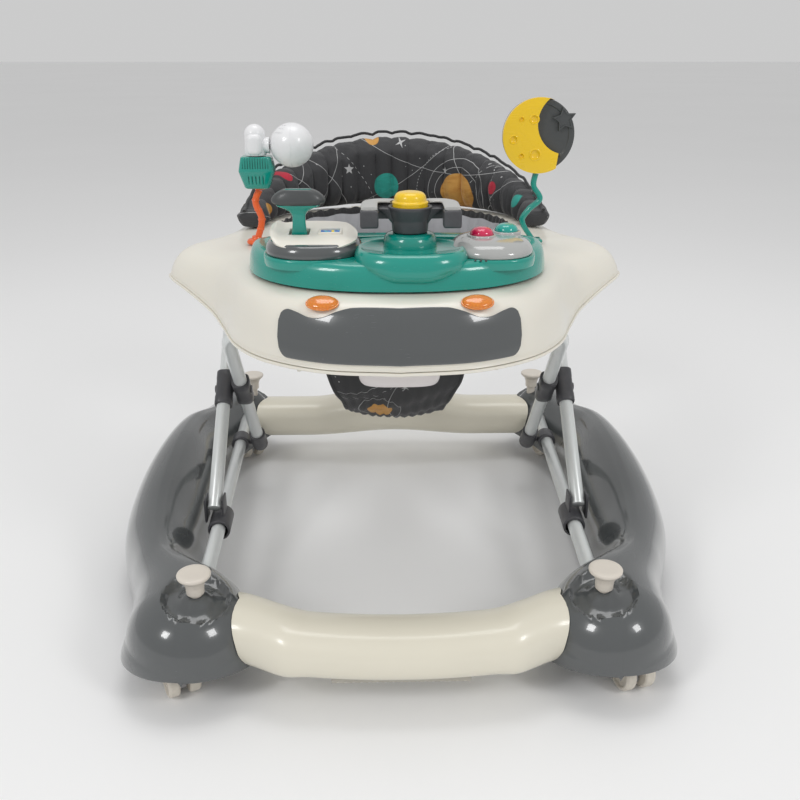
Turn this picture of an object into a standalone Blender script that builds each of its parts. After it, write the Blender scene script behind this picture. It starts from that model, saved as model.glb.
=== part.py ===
"""Baby walker: a wheeled base, two crossing leg frames that fold, and a toy tray with a fabric seat.

Frame: +Z up, the front of the walker faces -Y, the origin is on the floor under the middle.
Run with blender --background --python part.py, or from Blender's text editor.
"""

import math

import bmesh
import bpy
from mathutils import Matrix, Vector

# ---- clearances -------------------------------------------------------------------------------
SEAM = 0.0006            # between fixed pieces that lie against each other
RUNNING = 0.0004         # radial, between a turning pin and its bore
SLIDE_PLAY = 0.0023      # radial, between the sliding collar and the splayed base tube
SLOT_PLAY = 0.0025       # above and below the front leg bar in its slot

# ---- base -------------------------------------------------------------------------------------
FRONT_CORNER = (0.225, -0.265, 0.070)    # x, y and radius of the front corner dome
REAR_CORNER = (0.240, 0.292, 0.052)
SHELL_WALL = 0.003
RIM_LOW = 0.020          # height of the runner's underside at mid length
RIM_RISE = 0.028         # how much higher the underside is at the ends
HALF_LENGTH = 0.345
RIM_FLARE = 0.005        # how far the bottom band stands out at the domes
SIDE_STATIONS = (        # y, inner x, outer x, crown height
    (-0.265, 0.155, 0.295, 0.112),
    (-0.215, 0.172, 0.297, 0.108),
    (-0.165, 0.226, 0.308, 0.101),
    (-0.090, 0.233, 0.333, 0.106),
    (0.000, 0.237, 0.342, 0.116),
    (0.090, 0.241, 0.338, 0.121),
    (0.170, 0.245, 0.326, 0.116),
    (0.235, 0.222, 0.307, 0.104),
    (0.292, 0.188, 0.292, 0.106),
)
RAIL_HALF_DEPTH = 0.037
RAIL_HALF_HEIGHT = 0.030
RAIL_WALL = 0.003
FRONT_RAIL_Y = HALF_LENGTH - RAIL_HALF_DEPTH
REAR_RAIL_Y = 0.285
RAIL_Z = 0.066
RAIL_GAP = 0.0013         # between a rail's end and the corner dome it lies against

# ---- casters and lift knobs -------------------------------------------------------------------
FRONT_KNOB = (0.206, -0.275)
REAR_KNOB = (0.2225, 0.290)
KNOB_TOP = 0.135
KNOB_RADIUS = 0.017
POST_RADIUS = 0.0065
STEM_RADIUS = 0.004
WHEEL_RADIUS = 0.020
WHEEL_WIDTH = 0.012
WHEEL_GAP = 0.0095
AXLE_RADIUS = 0.003
CASTER_TRAIL = 0.020
CASTER_TURN = {"front_left": 206.0, "front_right": 194.0, "rear_left": 213.0, "rear_right": 199.0}
FRONT_CASTER = (0.2355, -0.269)
REAR_CASTER = (0.242, 0.292)
CARRIAGE_Z = 0.059       # height of the arm from the knob's post to the caster's socket
SOCKET_RADIUS = 0.0085
SOCKET_TOP = 0.0695
FORK_TOP = 2 * WHEEL_RADIUS + 0.0066

# ---- leg tubes --------------------------------------------------------------------------------
TUBE_RADIUS = 0.0085
TUBE_WALL = 0.0012
BASE_TUBE_Z = 0.078
BASE_TUBE_MID = (0.2215, 0.060)          # x and y of a point on the base tube
BASE_TUBE_SPLAY = 0.035                  # x per y
BASE_TUBE_ENDS = (-0.214, 0.244)
FRONT_LEG_X = 0.198                      # plane of the front leg frame's tubes
REAR_LEG_X = 0.2215
REAR_PIVOT_Y = 0.158
FRONT_LEG_ANGLE = math.radians(48.5)
REAR_LEG_ANGLE = math.radians(40.3)
FRONT_LEG_LENGTH = 0.3178                # pivot to top bar
FRONT_LEG_TO_CROSS = 0.169
REAR_LEG_LENGTH = 0.2940
REAR_LEG_TO_CROSS = 0.1565
LEG_CORNER = 0.036                       # bend radius of the front leg frame
SLEEVE_RADIUS = 0.0112
SLEEVE_HALF = 0.024
PIN_RADIUS = 0.004

# ---- tray -------------------------------------------------------------------------------------
TRAY_TOP = 0.407
TRAY_RIM = 0.345
TRAY_WALL = 0.0025
TRAY_CENTRE_Y = 0.070
LOWER_PLATE = 0.003
SEAT_HOLE = (0.150, 0.135, 0.090)        # half width, half depth, centre y
TRAY_HALF_OUTLINE = (                    # x, y and how much of the point is wing
    (0.000, -0.276, 0.0), (0.070, -0.266, 0.0), (0.127, -0.234, 0.0), (0.162, -0.188, 0.0),
    (0.185, -0.126, 0.0), (0.203, -0.086, 0.2), (0.233, -0.052, 0.7), (0.263, -0.010, 1.0),
    (0.262, 0.014, 1.0), (0.240, 0.048, 0.7), (0.221, 0.090, 0.2), (0.210, 0.140, 0.0),
    (0.185, 0.200, 0.0), (0.128, 0.250, 0.0), (0.066, 0.270, 0.0), (0.000, 0.276, 0.0),
)
BUMPER_THICKNESS = 0.002
BUMPER_GAP = 0.0015
LAMP_Z = 0.4020

# ---- toys -------------------------------------------------------------------------------------
PANEL = (0.1535, 0.125, 0.040, -0.110)   # half width, depth forwards and back, centre y
PANEL_BASE = TRAY_TOP + 0.0020
PANEL_TOP = 0.4335
CONSOLE_BASE = PANEL_TOP + SEAM
LEFT_CONSOLE = (-0.082, -0.168, 0.047, 0.045)
RIGHT_CONSOLE = (0.091, -0.170, 0.040, 0.045)
CONSOLE_HEIGHT = 0.0155
WHEEL_POST = (0.0115, -0.168, 0.0265)    # x, y and radius of the steering post
POST_TOP = 0.4515
STALK_FOOT = (0.160, -0.010)
STALK_RADIUS = 0.004
MOON = (0.159, 0.527, 0.0400)            # x, z and radius
BALL = (-0.115, 0.517, 0.0240)
GEAR_X = -0.096
DRUM_X = -0.066

SIDES = (("left", -1.0), ("right", 1.0))


# ---- small tools ------------------------------------------------------------------------------
def clear_scene():
    for obj in list(bpy.data.objects):
        bpy.data.objects.remove(obj, do_unlink=True)


def collection(name):
    made = bpy.data.collections.new(name)
    bpy.context.scene.collection.children.link(made)
    return made


def material(name, colour, roughness, metallic=0.0):
    made = bpy.data.materials.new(name)
    made.use_nodes = True
    shader = made.node_tree.nodes["Principled BSDF"]
    shader.inputs["Base Color"].default_value = (*colour, 1.0)
    shader.inputs["Roughness"].default_value = roughness
    shader.inputs["Metallic"].default_value = metallic
    return made


def add_object(name, mesh, finish, where=None):
    """A mesh object in the walker's collection, or in another one."""
    obj = bpy.data.objects.new(name, mesh)
    (where or PARTS).objects.link(obj)
    if finish:
        mesh.materials.append(finish)
    return obj


def from_bmesh(name, bm, finish, where=None, smooth=35.0):
    mesh = bpy.data.meshes.new(name)
    bm.to_mesh(mesh)
    bm.free()
    if smooth:
        mesh.shade_smooth()
        mesh.set_sharp_from_angle(angle=math.radians(smooth))
    return add_object(name, mesh, finish, where)


def grid(name, rows, finish, loop=False, wrap=False, where=None):
    """A surface through rows of points; loop joins the last row to the first, wrap closes each row."""
    bm = bmesh.new()
    verts = [[bm.verts.new(point) for point in row] for row in rows]
    row_count = len(rows)
    width = len(rows[0])
    for i in range(row_count if loop else row_count - 1):
        lower, upper = verts[i], verts[(i + 1) % row_count]
        for j in range(width if wrap else width - 1):
            k = (j + 1) % width
            bm.faces.new((lower[j], lower[k], upper[k], upper[j]))
    bmesh.ops.remove_doubles(bm, verts=bm.verts, dist=0.00002)
    bmesh.ops.dissolve_degenerate(bm, edges=bm.edges, dist=0.00001)
    return from_bmesh(name, bm, finish, where)


def solid_loft(name, rings, finish, where=None):
    """A closed solid through rings of points, with a flat face on the first and the last ring."""
    bm = bmesh.new()
    verts = [[bm.verts.new(point) for point in ring] for ring in rings]
    width = len(rings[0])
    for lower, upper in zip(verts, verts[1:]):
        for j in range(width):
            k = (j + 1) % width
            bm.faces.new((lower[j], lower[k], upper[k], upper[j]))
    bm.faces.new(reversed(verts[0]))
    bm.faces.new(verts[-1])
    bmesh.ops.recalc_face_normals(bm, faces=bm.faces)
    return from_bmesh(name, bm, finish, where)


def box(name, low, high, finish, where=None, bevel=0.0):
    bm = bmesh.new()
    bmesh.ops.create_cube(bm, size=1.0)
    size = Vector(high) - Vector(low)
    centre = (Vector(high) + Vector(low)) / 2
    bmesh.ops.scale(bm, vec=size, verts=bm.verts)
    obj = from_bmesh(name, bm, finish, where, smooth=None)
    obj.location = centre
    if bevel:
        rounding = obj.modifiers.new("edges", "BEVEL")
        rounding.width = bevel
        rounding.segments = 2
    return obj


def cylinder(name, start, end, radius, finish=None, where=None, sides=18):
    """A closed cylinder between two points."""
    a, b = Vector(start), Vector(end)
    bm = bmesh.new()
    bmesh.ops.create_cone(
        bm, cap_ends=True, segments=sides, radius1=radius, radius2=radius, depth=(b - a).length
    )
    turn = (b - a).to_track_quat("Z", "Y").to_matrix().to_4x4()
    obj = from_bmesh(name, bm, finish, where)
    obj.matrix_world = Matrix.Translation((a + b) / 2) @ turn
    return obj


def turned(name, profile, finish, place=(0, 0, 0), axis=(0, 0, 1), steps=16):
    """A profile of (radius, height) pairs, top to bottom down its outer side, turned about an axis."""
    bm = bmesh.new()
    verts = [bm.verts.new((radius, 0, height)) for radius, height in profile]
    for a, b in zip(verts, verts[1:]):
        bm.edges.new((a, b))
    if profile[0][0] > 0 and profile[-1][0] > 0:
        bm.edges.new((verts[-1], verts[0]))
    obj = from_bmesh(name, bm, finish, smooth=None)
    screw = obj.modifiers.new("turn", "SCREW")
    screw.steps = screw.render_steps = steps
    screw.use_merge_vertices = True
    screw.merge_threshold = 0.00001
    screw.use_smooth_shade = False
    turn = Vector(axis).to_track_quat("Z", "Y").to_matrix().to_4x4()
    obj.matrix_world = Matrix.Translation(place) @ turn
    return obj


def pipe(name, points, radius, finish, wall=0.0, resolution=3):
    """A round bar through points, or a tube with open ends when it has a wall."""
    curve = bpy.data.curves.new(name, "CURVE")
    curve.dimensions = "3D"
    curve.bevel_depth = radius
    curve.bevel_resolution = resolution
    curve.use_fill_caps = not wall
    spline = curve.splines.new("POLY")
    spline.points.add(len(points) - 1)
    for spot, point in zip(spline.points, points):
        spot.co = (*point, 1)
    guide = bpy.data.objects.new(name + "_guide", curve)
    PARTS.objects.link(guide)
    bpy.context.view_layer.update()
    evaluated = guide.evaluated_get(bpy.context.evaluated_depsgraph_get())
    mesh = bpy.data.meshes.new_from_object(evaluated)
    bm = bmesh.new()
    bm.from_mesh(mesh)
    bmesh.ops.remove_doubles(bm, verts=bm.verts, dist=0.00002)
    if not wall:
        bmesh.ops.recalc_face_normals(bm, faces=bm.faces)
    bpy.data.objects.remove(guide, do_unlink=True)
    obj = from_bmesh(name, bm, finish)
    if wall:
        thicken(obj, wall)
    return obj


def thicken(obj, wall, offset=-1.0):
    shell = obj.modifiers.new("wall", "SOLIDIFY")
    shell.thickness = wall
    shell.offset = offset
    return obj


def combine(obj, other, operation="DIFFERENCE"):
    """Cuts the other object out of obj, or joins it on, and turns the other into a hidden cutter."""
    for holder in list(other.users_collection):
        holder.objects.unlink(other)
    CUTTERS.objects.link(other)
    other.hide_render = True
    other.display_type = "WIRE"
    other.name = "cutter_" + other.name
    step = obj.modifiers.new(operation.lower(), "BOOLEAN")
    step.operation = operation
    step.object = other
    return obj


def smooth_step(t):
    t = min(1.0, max(0.0, t))
    return t * t * (3 - 2 * t)


def through(stations, y, column):
    """A value read from a smooth curve through the stations' first column."""
    last = len(stations) - 1
    i = 0
    while i < last - 1 and y > stations[i + 1][0]:
        i += 1
    before, start = stations[max(i - 1, 0)], stations[i]
    end, after = stations[i + 1], stations[min(i + 2, last)]
    span = end[0] - start[0]
    t = min(1.0, max(0.0, (y - start[0]) / span))
    slope_a = (end[column] - before[column]) / (end[0] - before[0]) * span
    slope_b = (after[column] - start[column]) / (after[0] - start[0]) * span
    return (
        (2 * t**3 - 3 * t**2 + 1) * start[column] + (t**3 - 2 * t**2 + t) * slope_a
        + (3 * t**2 - 2 * t**3) * end[column] + (t**3 - t**2) * slope_b
    )


def superellipse(a, b, angle, power):
    c, s = math.cos(angle), math.sin(angle)
    scale = (abs(c) ** power + abs(s) ** power) ** (-1.0 / power)
    return a * c * scale, b * s * scale


# ---- base -------------------------------------------------------------------------------------
def rim_height(y):
    return RIM_LOW + RIM_RISE * (y / HALF_LENGTH) ** 2


def shell_row(y, inner, outer, crown, sign, grow=0.0, columns=10, solid=False):
    """One cross-section of a side shell, from its outer bottom edge over the crown to the inner one."""
    middle = (inner + outer) / 2
    half = (outer - inner) / 2 + grow
    low = rim_height(y)
    near_dome = max(
        smooth_step(1 - abs(y - FRONT_CORNER[1]) / 0.13), smooth_step(1 - abs(y - REAR_CORNER[1]) / 0.11)
    )
    points = []
    for j in range(columns + 1):
        angle = math.pi * j / columns
        c, s = math.cos(angle), math.sin(angle)
        across = math.copysign(abs(c) ** 0.8, c)
        rise = abs(s) ** 0.8
        scoop = 1 - 0.30 * (1 - near_dome) * smooth_step(-across)
        height = low + (crown + grow - low) * rise * scoop
        flare = RIM_FLARE * near_dome * smooth_step(1 - (height - low) / 0.020) * min(1.0, half / 0.03)
        points.append((sign * (middle + across * (half + flare)), y, height))
    if solid:
        below = low - 0.03
        points.append((sign * (middle - half - RIM_FLARE), y, below))
        points.append((sign * (middle + half + RIM_FLARE), y, below))
    return points


def shell_rows(sign, grow=0.0, solid=False):
    rows = []
    cap = 5
    x, y, radius = FRONT_CORNER
    crown = SIDE_STATIONS[0][3]
    radius += grow
    for k in range(cap):
        angle = math.radians(90 - 90 * k / cap) if k else math.radians(89.2)
        half = radius * math.cos(angle)
        height = rim_height(y) + (crown - rim_height(y)) * math.cos(angle) ** 0.62
        rows.append(shell_row(y - radius * math.sin(angle), x - half, x + half, height, sign, 0.0, solid=solid))
    steps = 14
    first, last = SIDE_STATIONS[0][0], SIDE_STATIONS[-1][0]
    for k in range(steps + 1):
        at = first + (last - first) * k / steps
        inner, outer, crown = (through(SIDE_STATIONS, at, column) for column in (1, 2, 3))
        rows.append(shell_row(at, inner, outer, crown, sign, grow, solid=solid))
    x, y, radius = REAR_CORNER
    crown = SIDE_STATIONS[-1][3]
    radius += grow
    for k in range(1, cap + 1):
        angle = math.radians(90 * k / cap) if k < cap else math.radians(89.2)
        half = radius * math.cos(angle)
        height = rim_height(y) + (crown - rim_height(y)) * math.cos(angle) ** 0.62
        rows.append(shell_row(y + radius * math.sin(angle), x - half, x + half, height, sign, 0.0, solid=solid))
    return rows


def base_tube_x(y):
    return BASE_TUBE_MID[0] + BASE_TUBE_SPLAY * (y - BASE_TUBE_MID[1])


def knob_places():
    for side, sign in SIDES:
        for end, (x, y) in (("front", FRONT_KNOB), ("rear", REAR_KNOB)):
            yield f"{end}_{side}", end, Vector((sign * x, y, 0))


def boss_top(end):
    return 0.1100 if end == "front" else 0.1060


def side_shell(side, sign):
    rows = shell_rows(sign)
    if sign > 0:
        rows = [list(reversed(row)) for row in rows]
    shell = grid(f"{side}_side_shell", rows, DARK_GLOSS)
    thicken(shell, SHELL_WALL)
    for name, end, spot in knob_places():
        if not name.endswith(side):
            continue
        top = boss_top(end)
        ring = cylinder(f"{name}_boss", spot + Vector((0, 0, top - 0.014)), spot + Vector((0, 0, top)), 0.0140)
        combine(shell, ring, "UNION")
        hole = cylinder(
            f"{name}_post_hole", spot + Vector((0, 0, 0.080)), spot + Vector((0, 0, 0.130)), POST_RADIUS + RUNNING
        )
        combine(shell, hole)
    ends = [Vector((sign * base_tube_x(y), y, BASE_TUBE_Z)) for y in (-0.240, 0.262)]
    combine(shell, cylinder(f"{side}_tube_hole", ends[0], ends[1], TUBE_RADIUS + SEAM))
    return shell


def rail_section(x, rear, sides=16):
    if rear:
        arch = smooth_step(abs(x) / 0.13)
        centre = (REAR_RAIL_Y + 0.004 * arch, 0.079 - 0.016 * arch)
        half_depth = RAIL_HALF_DEPTH - 0.004 * arch
        half_height = RAIL_HALF_HEIGHT + 0.0055 * (1 - arch)
    else:
        bow = (x / 0.15) ** 2
        centre = (-FRONT_RAIL_Y + 0.018 * bow, RAIL_Z)
        half_depth = RAIL_HALF_DEPTH
        half_height = RAIL_HALF_HEIGHT + 0.001 * bow
    points = []
    for k in range(sides):
        across, up = superellipse(half_depth, half_height, 2 * math.pi * k / sides, 2.3)
        points.append((x, centre[0] + across, centre[1] + up))
    return points


def rail(name, rear):
    reach = 0.215
    steps = 12
    rows = [rail_section(-reach + 2 * reach * k / steps, rear) for k in range(steps + 1)]
    body = grid(name, rows, CREAM, wrap=True)
    thicken(body, RAIL_WALL)
    for side, sign in SIDES:
        rings = shell_rows(sign, RAIL_GAP, solid=True)
        combine(body, solid_loft(f"{side}_{name}_end", rings, None))
    return body


def friction_strip():
    """A rubber strip under the front rail that stops the walker at the edge of a step."""
    top = RAIL_Z - RAIL_HALF_HEIGHT - SEAM
    return box(
        "front_friction_strip", (-0.070, -FRONT_RAIL_Y - 0.008, top - 0.006), (0.070, -FRONT_RAIL_Y + 0.008, top),
        RUBBER, bevel=0.001
    )


def base_tube(side, sign):
    ends = [(sign * base_tube_x(y), y, BASE_TUBE_Z) for y in BASE_TUBE_ENDS]
    return pipe(f"{side}_base_tube", ends, TUBE_RADIUS, PALE_METAL, wall=TUBE_WALL)


# ---- casters ----------------------------------------------------------------------------------
def caster_place(name, end):
    x, y = FRONT_CASTER if end == "front" else REAR_CASTER
    return Vector((-x if name.endswith("left") else x, y, 0))


def lift_knob(name, end, spot):
    """The knob and its post, with an arm to the socket that carries the caster."""
    profile = (
        (0.0, KNOB_TOP), (KNOB_RADIUS - 0.0015, KNOB_TOP), (KNOB_RADIUS, KNOB_TOP - 0.0015),
        (KNOB_RADIUS, KNOB_TOP - 0.004), (0.0112, KNOB_TOP - 0.010), (0.0085, KNOB_TOP - 0.0235),
        (POST_RADIUS, KNOB_TOP - 0.0245), (POST_RADIUS, CARRIAGE_Z - 0.006), (0.0, CARRIAGE_Z - 0.006),
    )
    knob = turned(f"{name}_lift_knob", profile, KNOB_CREAM, spot)
    place = caster_place(name, end)
    height = Vector((0, 0, CARRIAGE_Z))
    combine(knob, cylinder(f"{name}_carriage_arm", spot + height, place + height, 0.0045, sides=12), "UNION")
    bottom = Vector((0, 0, FORK_TOP + SEAM))
    top = Vector((0, 0, SOCKET_TOP))
    combine(knob, cylinder(f"{name}_socket", place + bottom, place + top, SOCKET_RADIUS, sides=16), "UNION")
    roof = top - Vector((0, 0, 0.0018))
    bore = cylinder(f"{name}_socket_bore", place, place + roof, STEM_RADIUS + RUNNING, sides=16)
    return combine(knob, bore)


def caster(name, spot):
    """The swivelling fork and its pair of wheels, in a local frame turned about the stem."""
    turn = math.radians(CASTER_TURN[name])
    pose = Matrix.Translation(spot) @ Matrix.Rotation(turn, 4, "Z")
    axle = pose @ Vector((0, CASTER_TRAIL, WHEEL_RADIUS))
    stem_top = SOCKET_TOP - 0.0022
    profile = (
        (0.0, stem_top), (STEM_RADIUS, stem_top), (STEM_RADIUS, FORK_TOP),
        (0.0115, FORK_TOP), (0.0115, FORK_TOP - 0.0045), (0.0, FORK_TOP - 0.0045),
    )
    fork = turned(f"{name}_caster_fork", profile, CASTER_GREY, spot)
    web_half = WHEEL_GAP / 2 - 0.0008
    low = (-web_half, -0.007, 0.009)
    high = (web_half, CASTER_TRAIL + 0.009, FORK_TOP - 0.002)
    web = box(f"{name}_web", low, high, None)
    web.matrix_world = pose @ Matrix.Translation(web.location)
    combine(fork, web, "UNION")
    side = pose.to_3x3() @ Vector((1, 0, 0))
    combine(fork, cylinder(f"{name}_axle_hole", axle - side * 0.02, axle + side * 0.02, AXLE_RADIUS + RUNNING, sides=14))
    inner, outer = WHEEL_GAP / 2, WHEEL_GAP / 2 + WHEEL_WIDTH
    rim = WHEEL_RADIUS - 0.002
    wheels_profile = (
        (0.0, outer), (rim, outer), (WHEEL_RADIUS, outer - 0.002), (WHEEL_RADIUS, inner + 0.001),
        (WHEEL_RADIUS - 0.001, inner), (AXLE_RADIUS, inner), (AXLE_RADIUS, -inner), (WHEEL_RADIUS - 0.001, -inner),
        (WHEEL_RADIUS, -inner - 0.001), (WHEEL_RADIUS, -outer + 0.002), (rim, -outer), (0.0, -outer),
    )
    wheels = turned(f"{name}_wheel_pair", wheels_profile, WHEEL_BEIGE, axle, axis=side, steps=16)
    return fork, wheels


# ---- leg frames -------------------------------------------------------------------------------
def along(angle, distance):
    """A step in the Y-Z plane, up a leg that leans by the angle."""
    return Vector((0, math.cos(angle) * distance, math.sin(angle) * distance))


FRONT_LEG_UP = math.pi - FRONT_LEG_ANGLE
REAR_PIVOT = Vector((0, REAR_PIVOT_Y, BASE_TUBE_Z))
CROSSING = REAR_PIVOT + along(FRONT_LEG_UP, FRONT_LEG_TO_CROSS)
FRONT_LEG_TOP = REAR_PIVOT + along(FRONT_LEG_UP, FRONT_LEG_LENGTH)
FRONT_PIVOT = CROSSING - along(REAR_LEG_ANGLE, REAR_LEG_TO_CROSS)
REAR_LEG_TOP = FRONT_PIVOT + along(REAR_LEG_ANGLE, REAR_LEG_LENGTH)
CAP_SOCKET = 0.0085      # distance from the rear pivot to the bottom of the leg cap's socket


def at_x(x, point):
    return Vector((x, point.y, point.z))


def front_leg_tube():
    """One tube: up the left side, across under the tray and down the right side."""
    bottom = REAR_PIVOT + along(FRONT_LEG_UP, CAP_SOCKET + SEAM)
    bend_start = FRONT_LEG_TOP - along(FRONT_LEG_UP, LEG_CORNER)
    points = [at_x(-FRONT_LEG_X, bottom)]
    for sign in (-1, 1):
        corner = []
        for k in range(6):
            angle = math.radians(18 * k)
            out = FRONT_LEG_X - LEG_CORNER * (1 - math.cos(angle))
            rise = bend_start + along(FRONT_LEG_UP, LEG_CORNER * math.sin(angle))
            corner.append(at_x(sign * out, rise))
        points += corner if sign < 0 else list(reversed(corner))
    points.append(at_x(FRONT_LEG_X, bottom))
    return pipe("front_leg_tube", points, TUBE_RADIUS, PALE_METAL, wall=TUBE_WALL)


def sleeve(name, centre, angle, finish, outer=SLEEVE_RADIUS, half=SLEEVE_HALF):
    """A short moulded sleeve around a leg tube."""
    bore = TUBE_RADIUS + SEAM
    profile = (
        (bore, half), (outer - 0.001, half), (outer, half - 0.001),
        (outer, 0.001 - half), (outer - 0.001, -half), (bore, -half),
    )
    return turned(name, profile, finish, centre, axis=along(angle, 1.0))


def leg_cap(side, sign):
    """The plug on the front leg's lower end, with the pivot hole through its solid part."""
    outer = 0.0113
    socket = TUBE_RADIUS + SEAM
    profile = (
        (socket, 0.030), (outer - 0.001, 0.030), (outer, 0.029), (outer, -0.009), (0.0085, -0.013),
        (0.0, -0.013), (0.0, CAP_SOCKET), (socket, CAP_SOCKET),
    )
    bm_place = at_x(sign * FRONT_LEG_X, REAR_PIVOT)
    cap = closed_turn(f"{side}_leg_cap", profile, CLIP_DARK, bm_place, along(FRONT_LEG_UP, 1.0))
    reach = Vector((0.02, 0, 0))
    return combine(cap, cylinder(f"{side}_cap_pivot_hole", bm_place - reach, bm_place + reach, PIN_RADIUS + RUNNING))


def closed_turn(name, profile, finish, place, axis, steps=18):
    """A turned cup: the profile runs from the rim down the outside, over the axis and up the inside."""
    outside = profile[: [p[0] for p in profile].index(0.0) + 1]
    inside = profile[len(outside):]
    bm = bmesh.new()
    verts = [bm.verts.new((radius, 0, height)) for radius, height in outside]
    inner = [bm.verts.new((radius, 0, height)) for radius, height in inside]
    for a, b in zip(verts, verts[1:]):
        bm.edges.new((a, b))
    for a, b in zip(inner, inner[1:]):
        bm.edges.new((a, b))
    bm.edges.new((inner[-1], verts[0]))
    obj = from_bmesh(name, bm, finish, smooth=None)
    screw = obj.modifiers.new("turn", "SCREW")
    screw.steps = screw.render_steps = steps
    screw.use_merge_vertices = True
    screw.merge_threshold = 0.00001
    screw.use_smooth_shade = False
    turn = axis.to_track_quat("Z", "Y").to_matrix().to_4x4()
    obj.matrix_world = Matrix.Translation(place) @ turn
    return obj


def rear_bracket(side, sign):
    """A fixed collar on the base tube with the stub that the front leg turns on."""
    y = REAR_PIVOT_Y
    centre = Vector((sign * base_tube_x(y), y, BASE_TUBE_Z))
    axis = Vector((sign * BASE_TUBE_SPLAY, 1, 0)).normalized()
    bore = TUBE_RADIUS + SEAM
    outer = 0.0128
    profile = ((bore, 0.012), (outer, 0.012), (outer, -0.012), (bore, -0.012))
    ring = turned(f"{side}_rear_bracket", profile, CLIP_DARK, centre, axis=axis)
    inner_face = centre - Vector((sign * (bore + 0.0012), 0, 0))
    end = at_x(sign * (FRONT_LEG_X - 0.0105), centre)
    return combine(ring, cylinder(f"{side}_pivot_stub", inner_face, end, PIN_RADIUS, sides=16), "UNION")


def front_leg_clip(side, sign):
    """The sleeve at the crossing, with the stub axle that enters the rear leg's sleeve."""
    centre = at_x(sign * FRONT_LEG_X, CROSSING)
    clip = sleeve(f"{side}_front_leg_clip", centre, FRONT_LEG_UP, CLIP_DARK)
    start = centre + Vector((sign * (TUBE_RADIUS + 0.0016), 0, 0))
    end = centre + Vector((sign * (REAR_LEG_X - FRONT_LEG_X - TUBE_RADIUS - 0.0010), 0, 0))
    return combine(clip, cylinder(f"{side}_crossing_stub", start, end, PIN_RADIUS, sides=16), "UNION")


def rear_leg_sleeve(side, sign):
    centre = at_x(sign * REAR_LEG_X, CROSSING)
    made = sleeve(f"{side}_rear_leg_sleeve", centre, REAR_LEG_ANGLE, CLIP_DARK)
    inward = centre - Vector((sign * (SLEEVE_RADIUS + 0.003), 0, 0))
    surface = centre - Vector((sign * (TUBE_RADIUS - 0.002), 0, 0))
    return combine(made, cylinder(f"{side}_stub_hole", inward, surface, PIN_RADIUS + RUNNING, sides=16))


def rear_leg_tube(side, sign):
    low = at_x(sign * REAR_LEG_X, FRONT_PIVOT - along(REAR_LEG_ANGLE, 0.008))
    high = at_x(sign * REAR_LEG_X, REAR_LEG_TOP + along(REAR_LEG_ANGLE, 0.008))
    tube = pipe(f"{side}_rear_leg_tube", [low, high], TUBE_RADIUS, PALE_METAL, wall=TUBE_WALL)
    for label, pivot in (("lower", FRONT_PIVOT), ("upper", REAR_LEG_TOP)):
        ends = [at_x(sign * (REAR_LEG_X + reach), pivot) for reach in (-0.02, 0.02)]
        combine(tube, cylinder(f"{side}_{label}_hole", ends[0], ends[1], 0.003 + RUNNING, sides=14))
    return tube


def slide_collar(side, sign):
    """The collar that slides on the base tube, with a fork and cross pin for the rear leg's lower end."""
    travel = 0.075
    mean_x = (base_tube_x(FRONT_PIVOT.y) + base_tube_x(FRONT_PIVOT.y - travel)) / 2
    centre = Vector((sign * mean_x, FRONT_PIVOT.y - 0.004, BASE_TUBE_Z))
    axis = Vector((sign * BASE_TUBE_SPLAY, 1, 0)).normalized()
    bore = TUBE_RADIUS + SLIDE_PLAY
    outer = bore + 0.0026
    profile = ((bore, 0.021), (outer, 0.021), (outer, -0.021), (bore, -0.021))
    collar = turned(f"{side}_slide_collar", profile, CLIP_DARK, centre, axis=axis)
    ear_gap = TUBE_RADIUS + 0.0008
    ear = 0.0026
    middle = sign * REAR_LEG_X
    for label, way in (("inner", -1), ("outer", 1)):
        a, b = sorted((middle + way * ear_gap, middle + way * (ear_gap + ear)))
        low = (a, FRONT_PIVOT.y - 0.011, BASE_TUBE_Z + 0.003)
        high = (b, FRONT_PIVOT.y + 0.011, FRONT_PIVOT.z + 0.008)
        combine(collar, box(f"{side}_{label}_ear", low, high, None), "UNION")
    reach = ear_gap + ear * 0.6
    pin = [at_x(middle + way * reach, FRONT_PIVOT) for way in (-1, 1)]
    combine(collar, cylinder(f"{side}_collar_pin", pin[0], pin[1], 0.003, sides=14), "UNION")
    bore_ends = [centre + axis * reach_y for reach_y in (-0.03, 0.03)]
    return combine(collar, cylinder(f"{side}_collar_bore", bore_ends[0], bore_ends[1], bore))


# ---- tray -------------------------------------------------------------------------------------
def tray_outline(count=48):
    """Points round the tray, from the front centre counter-clockwise seen from above: (x, y, wing)."""
    half = TRAY_HALF_OUTLINE
    steps = count // 2
    lengths = [0.0]
    for a, b in zip(half, half[1:]):
        lengths.append(lengths[-1] + math.hypot(b[0] - a[0], b[1] - a[1]))
    stations = [(length, *point) for length, point in zip(lengths, half)]
    right = []
    for k in range(steps + 1):
        at = lengths[-1] * k / steps
        right.append(tuple(through(stations, at, column) for column in (1, 2, 3)))
    left = [(-x, y, wing) for x, y, wing in reversed(right[1:-1])]
    return right + left


def hole_point(x, y, inset=0.0):
    """The point of the seat hole in the direction of an outline point."""
    half_x, half_y, centre = SEAT_HOLE
    angle = math.atan2((y - centre) / half_y, x / half_x)
    return (half_x + inset) * math.cos(angle), centre + (half_y + inset) * math.sin(angle)


TRAY_PROFILE = (         # distance in from the edge, share of the height
    (0.000, 0.00), (0.0030, 0.34), (0.0085, 0.66), (0.0170, 0.87), (0.0300, 0.965), (0.0480, 1.00),
)


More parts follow.
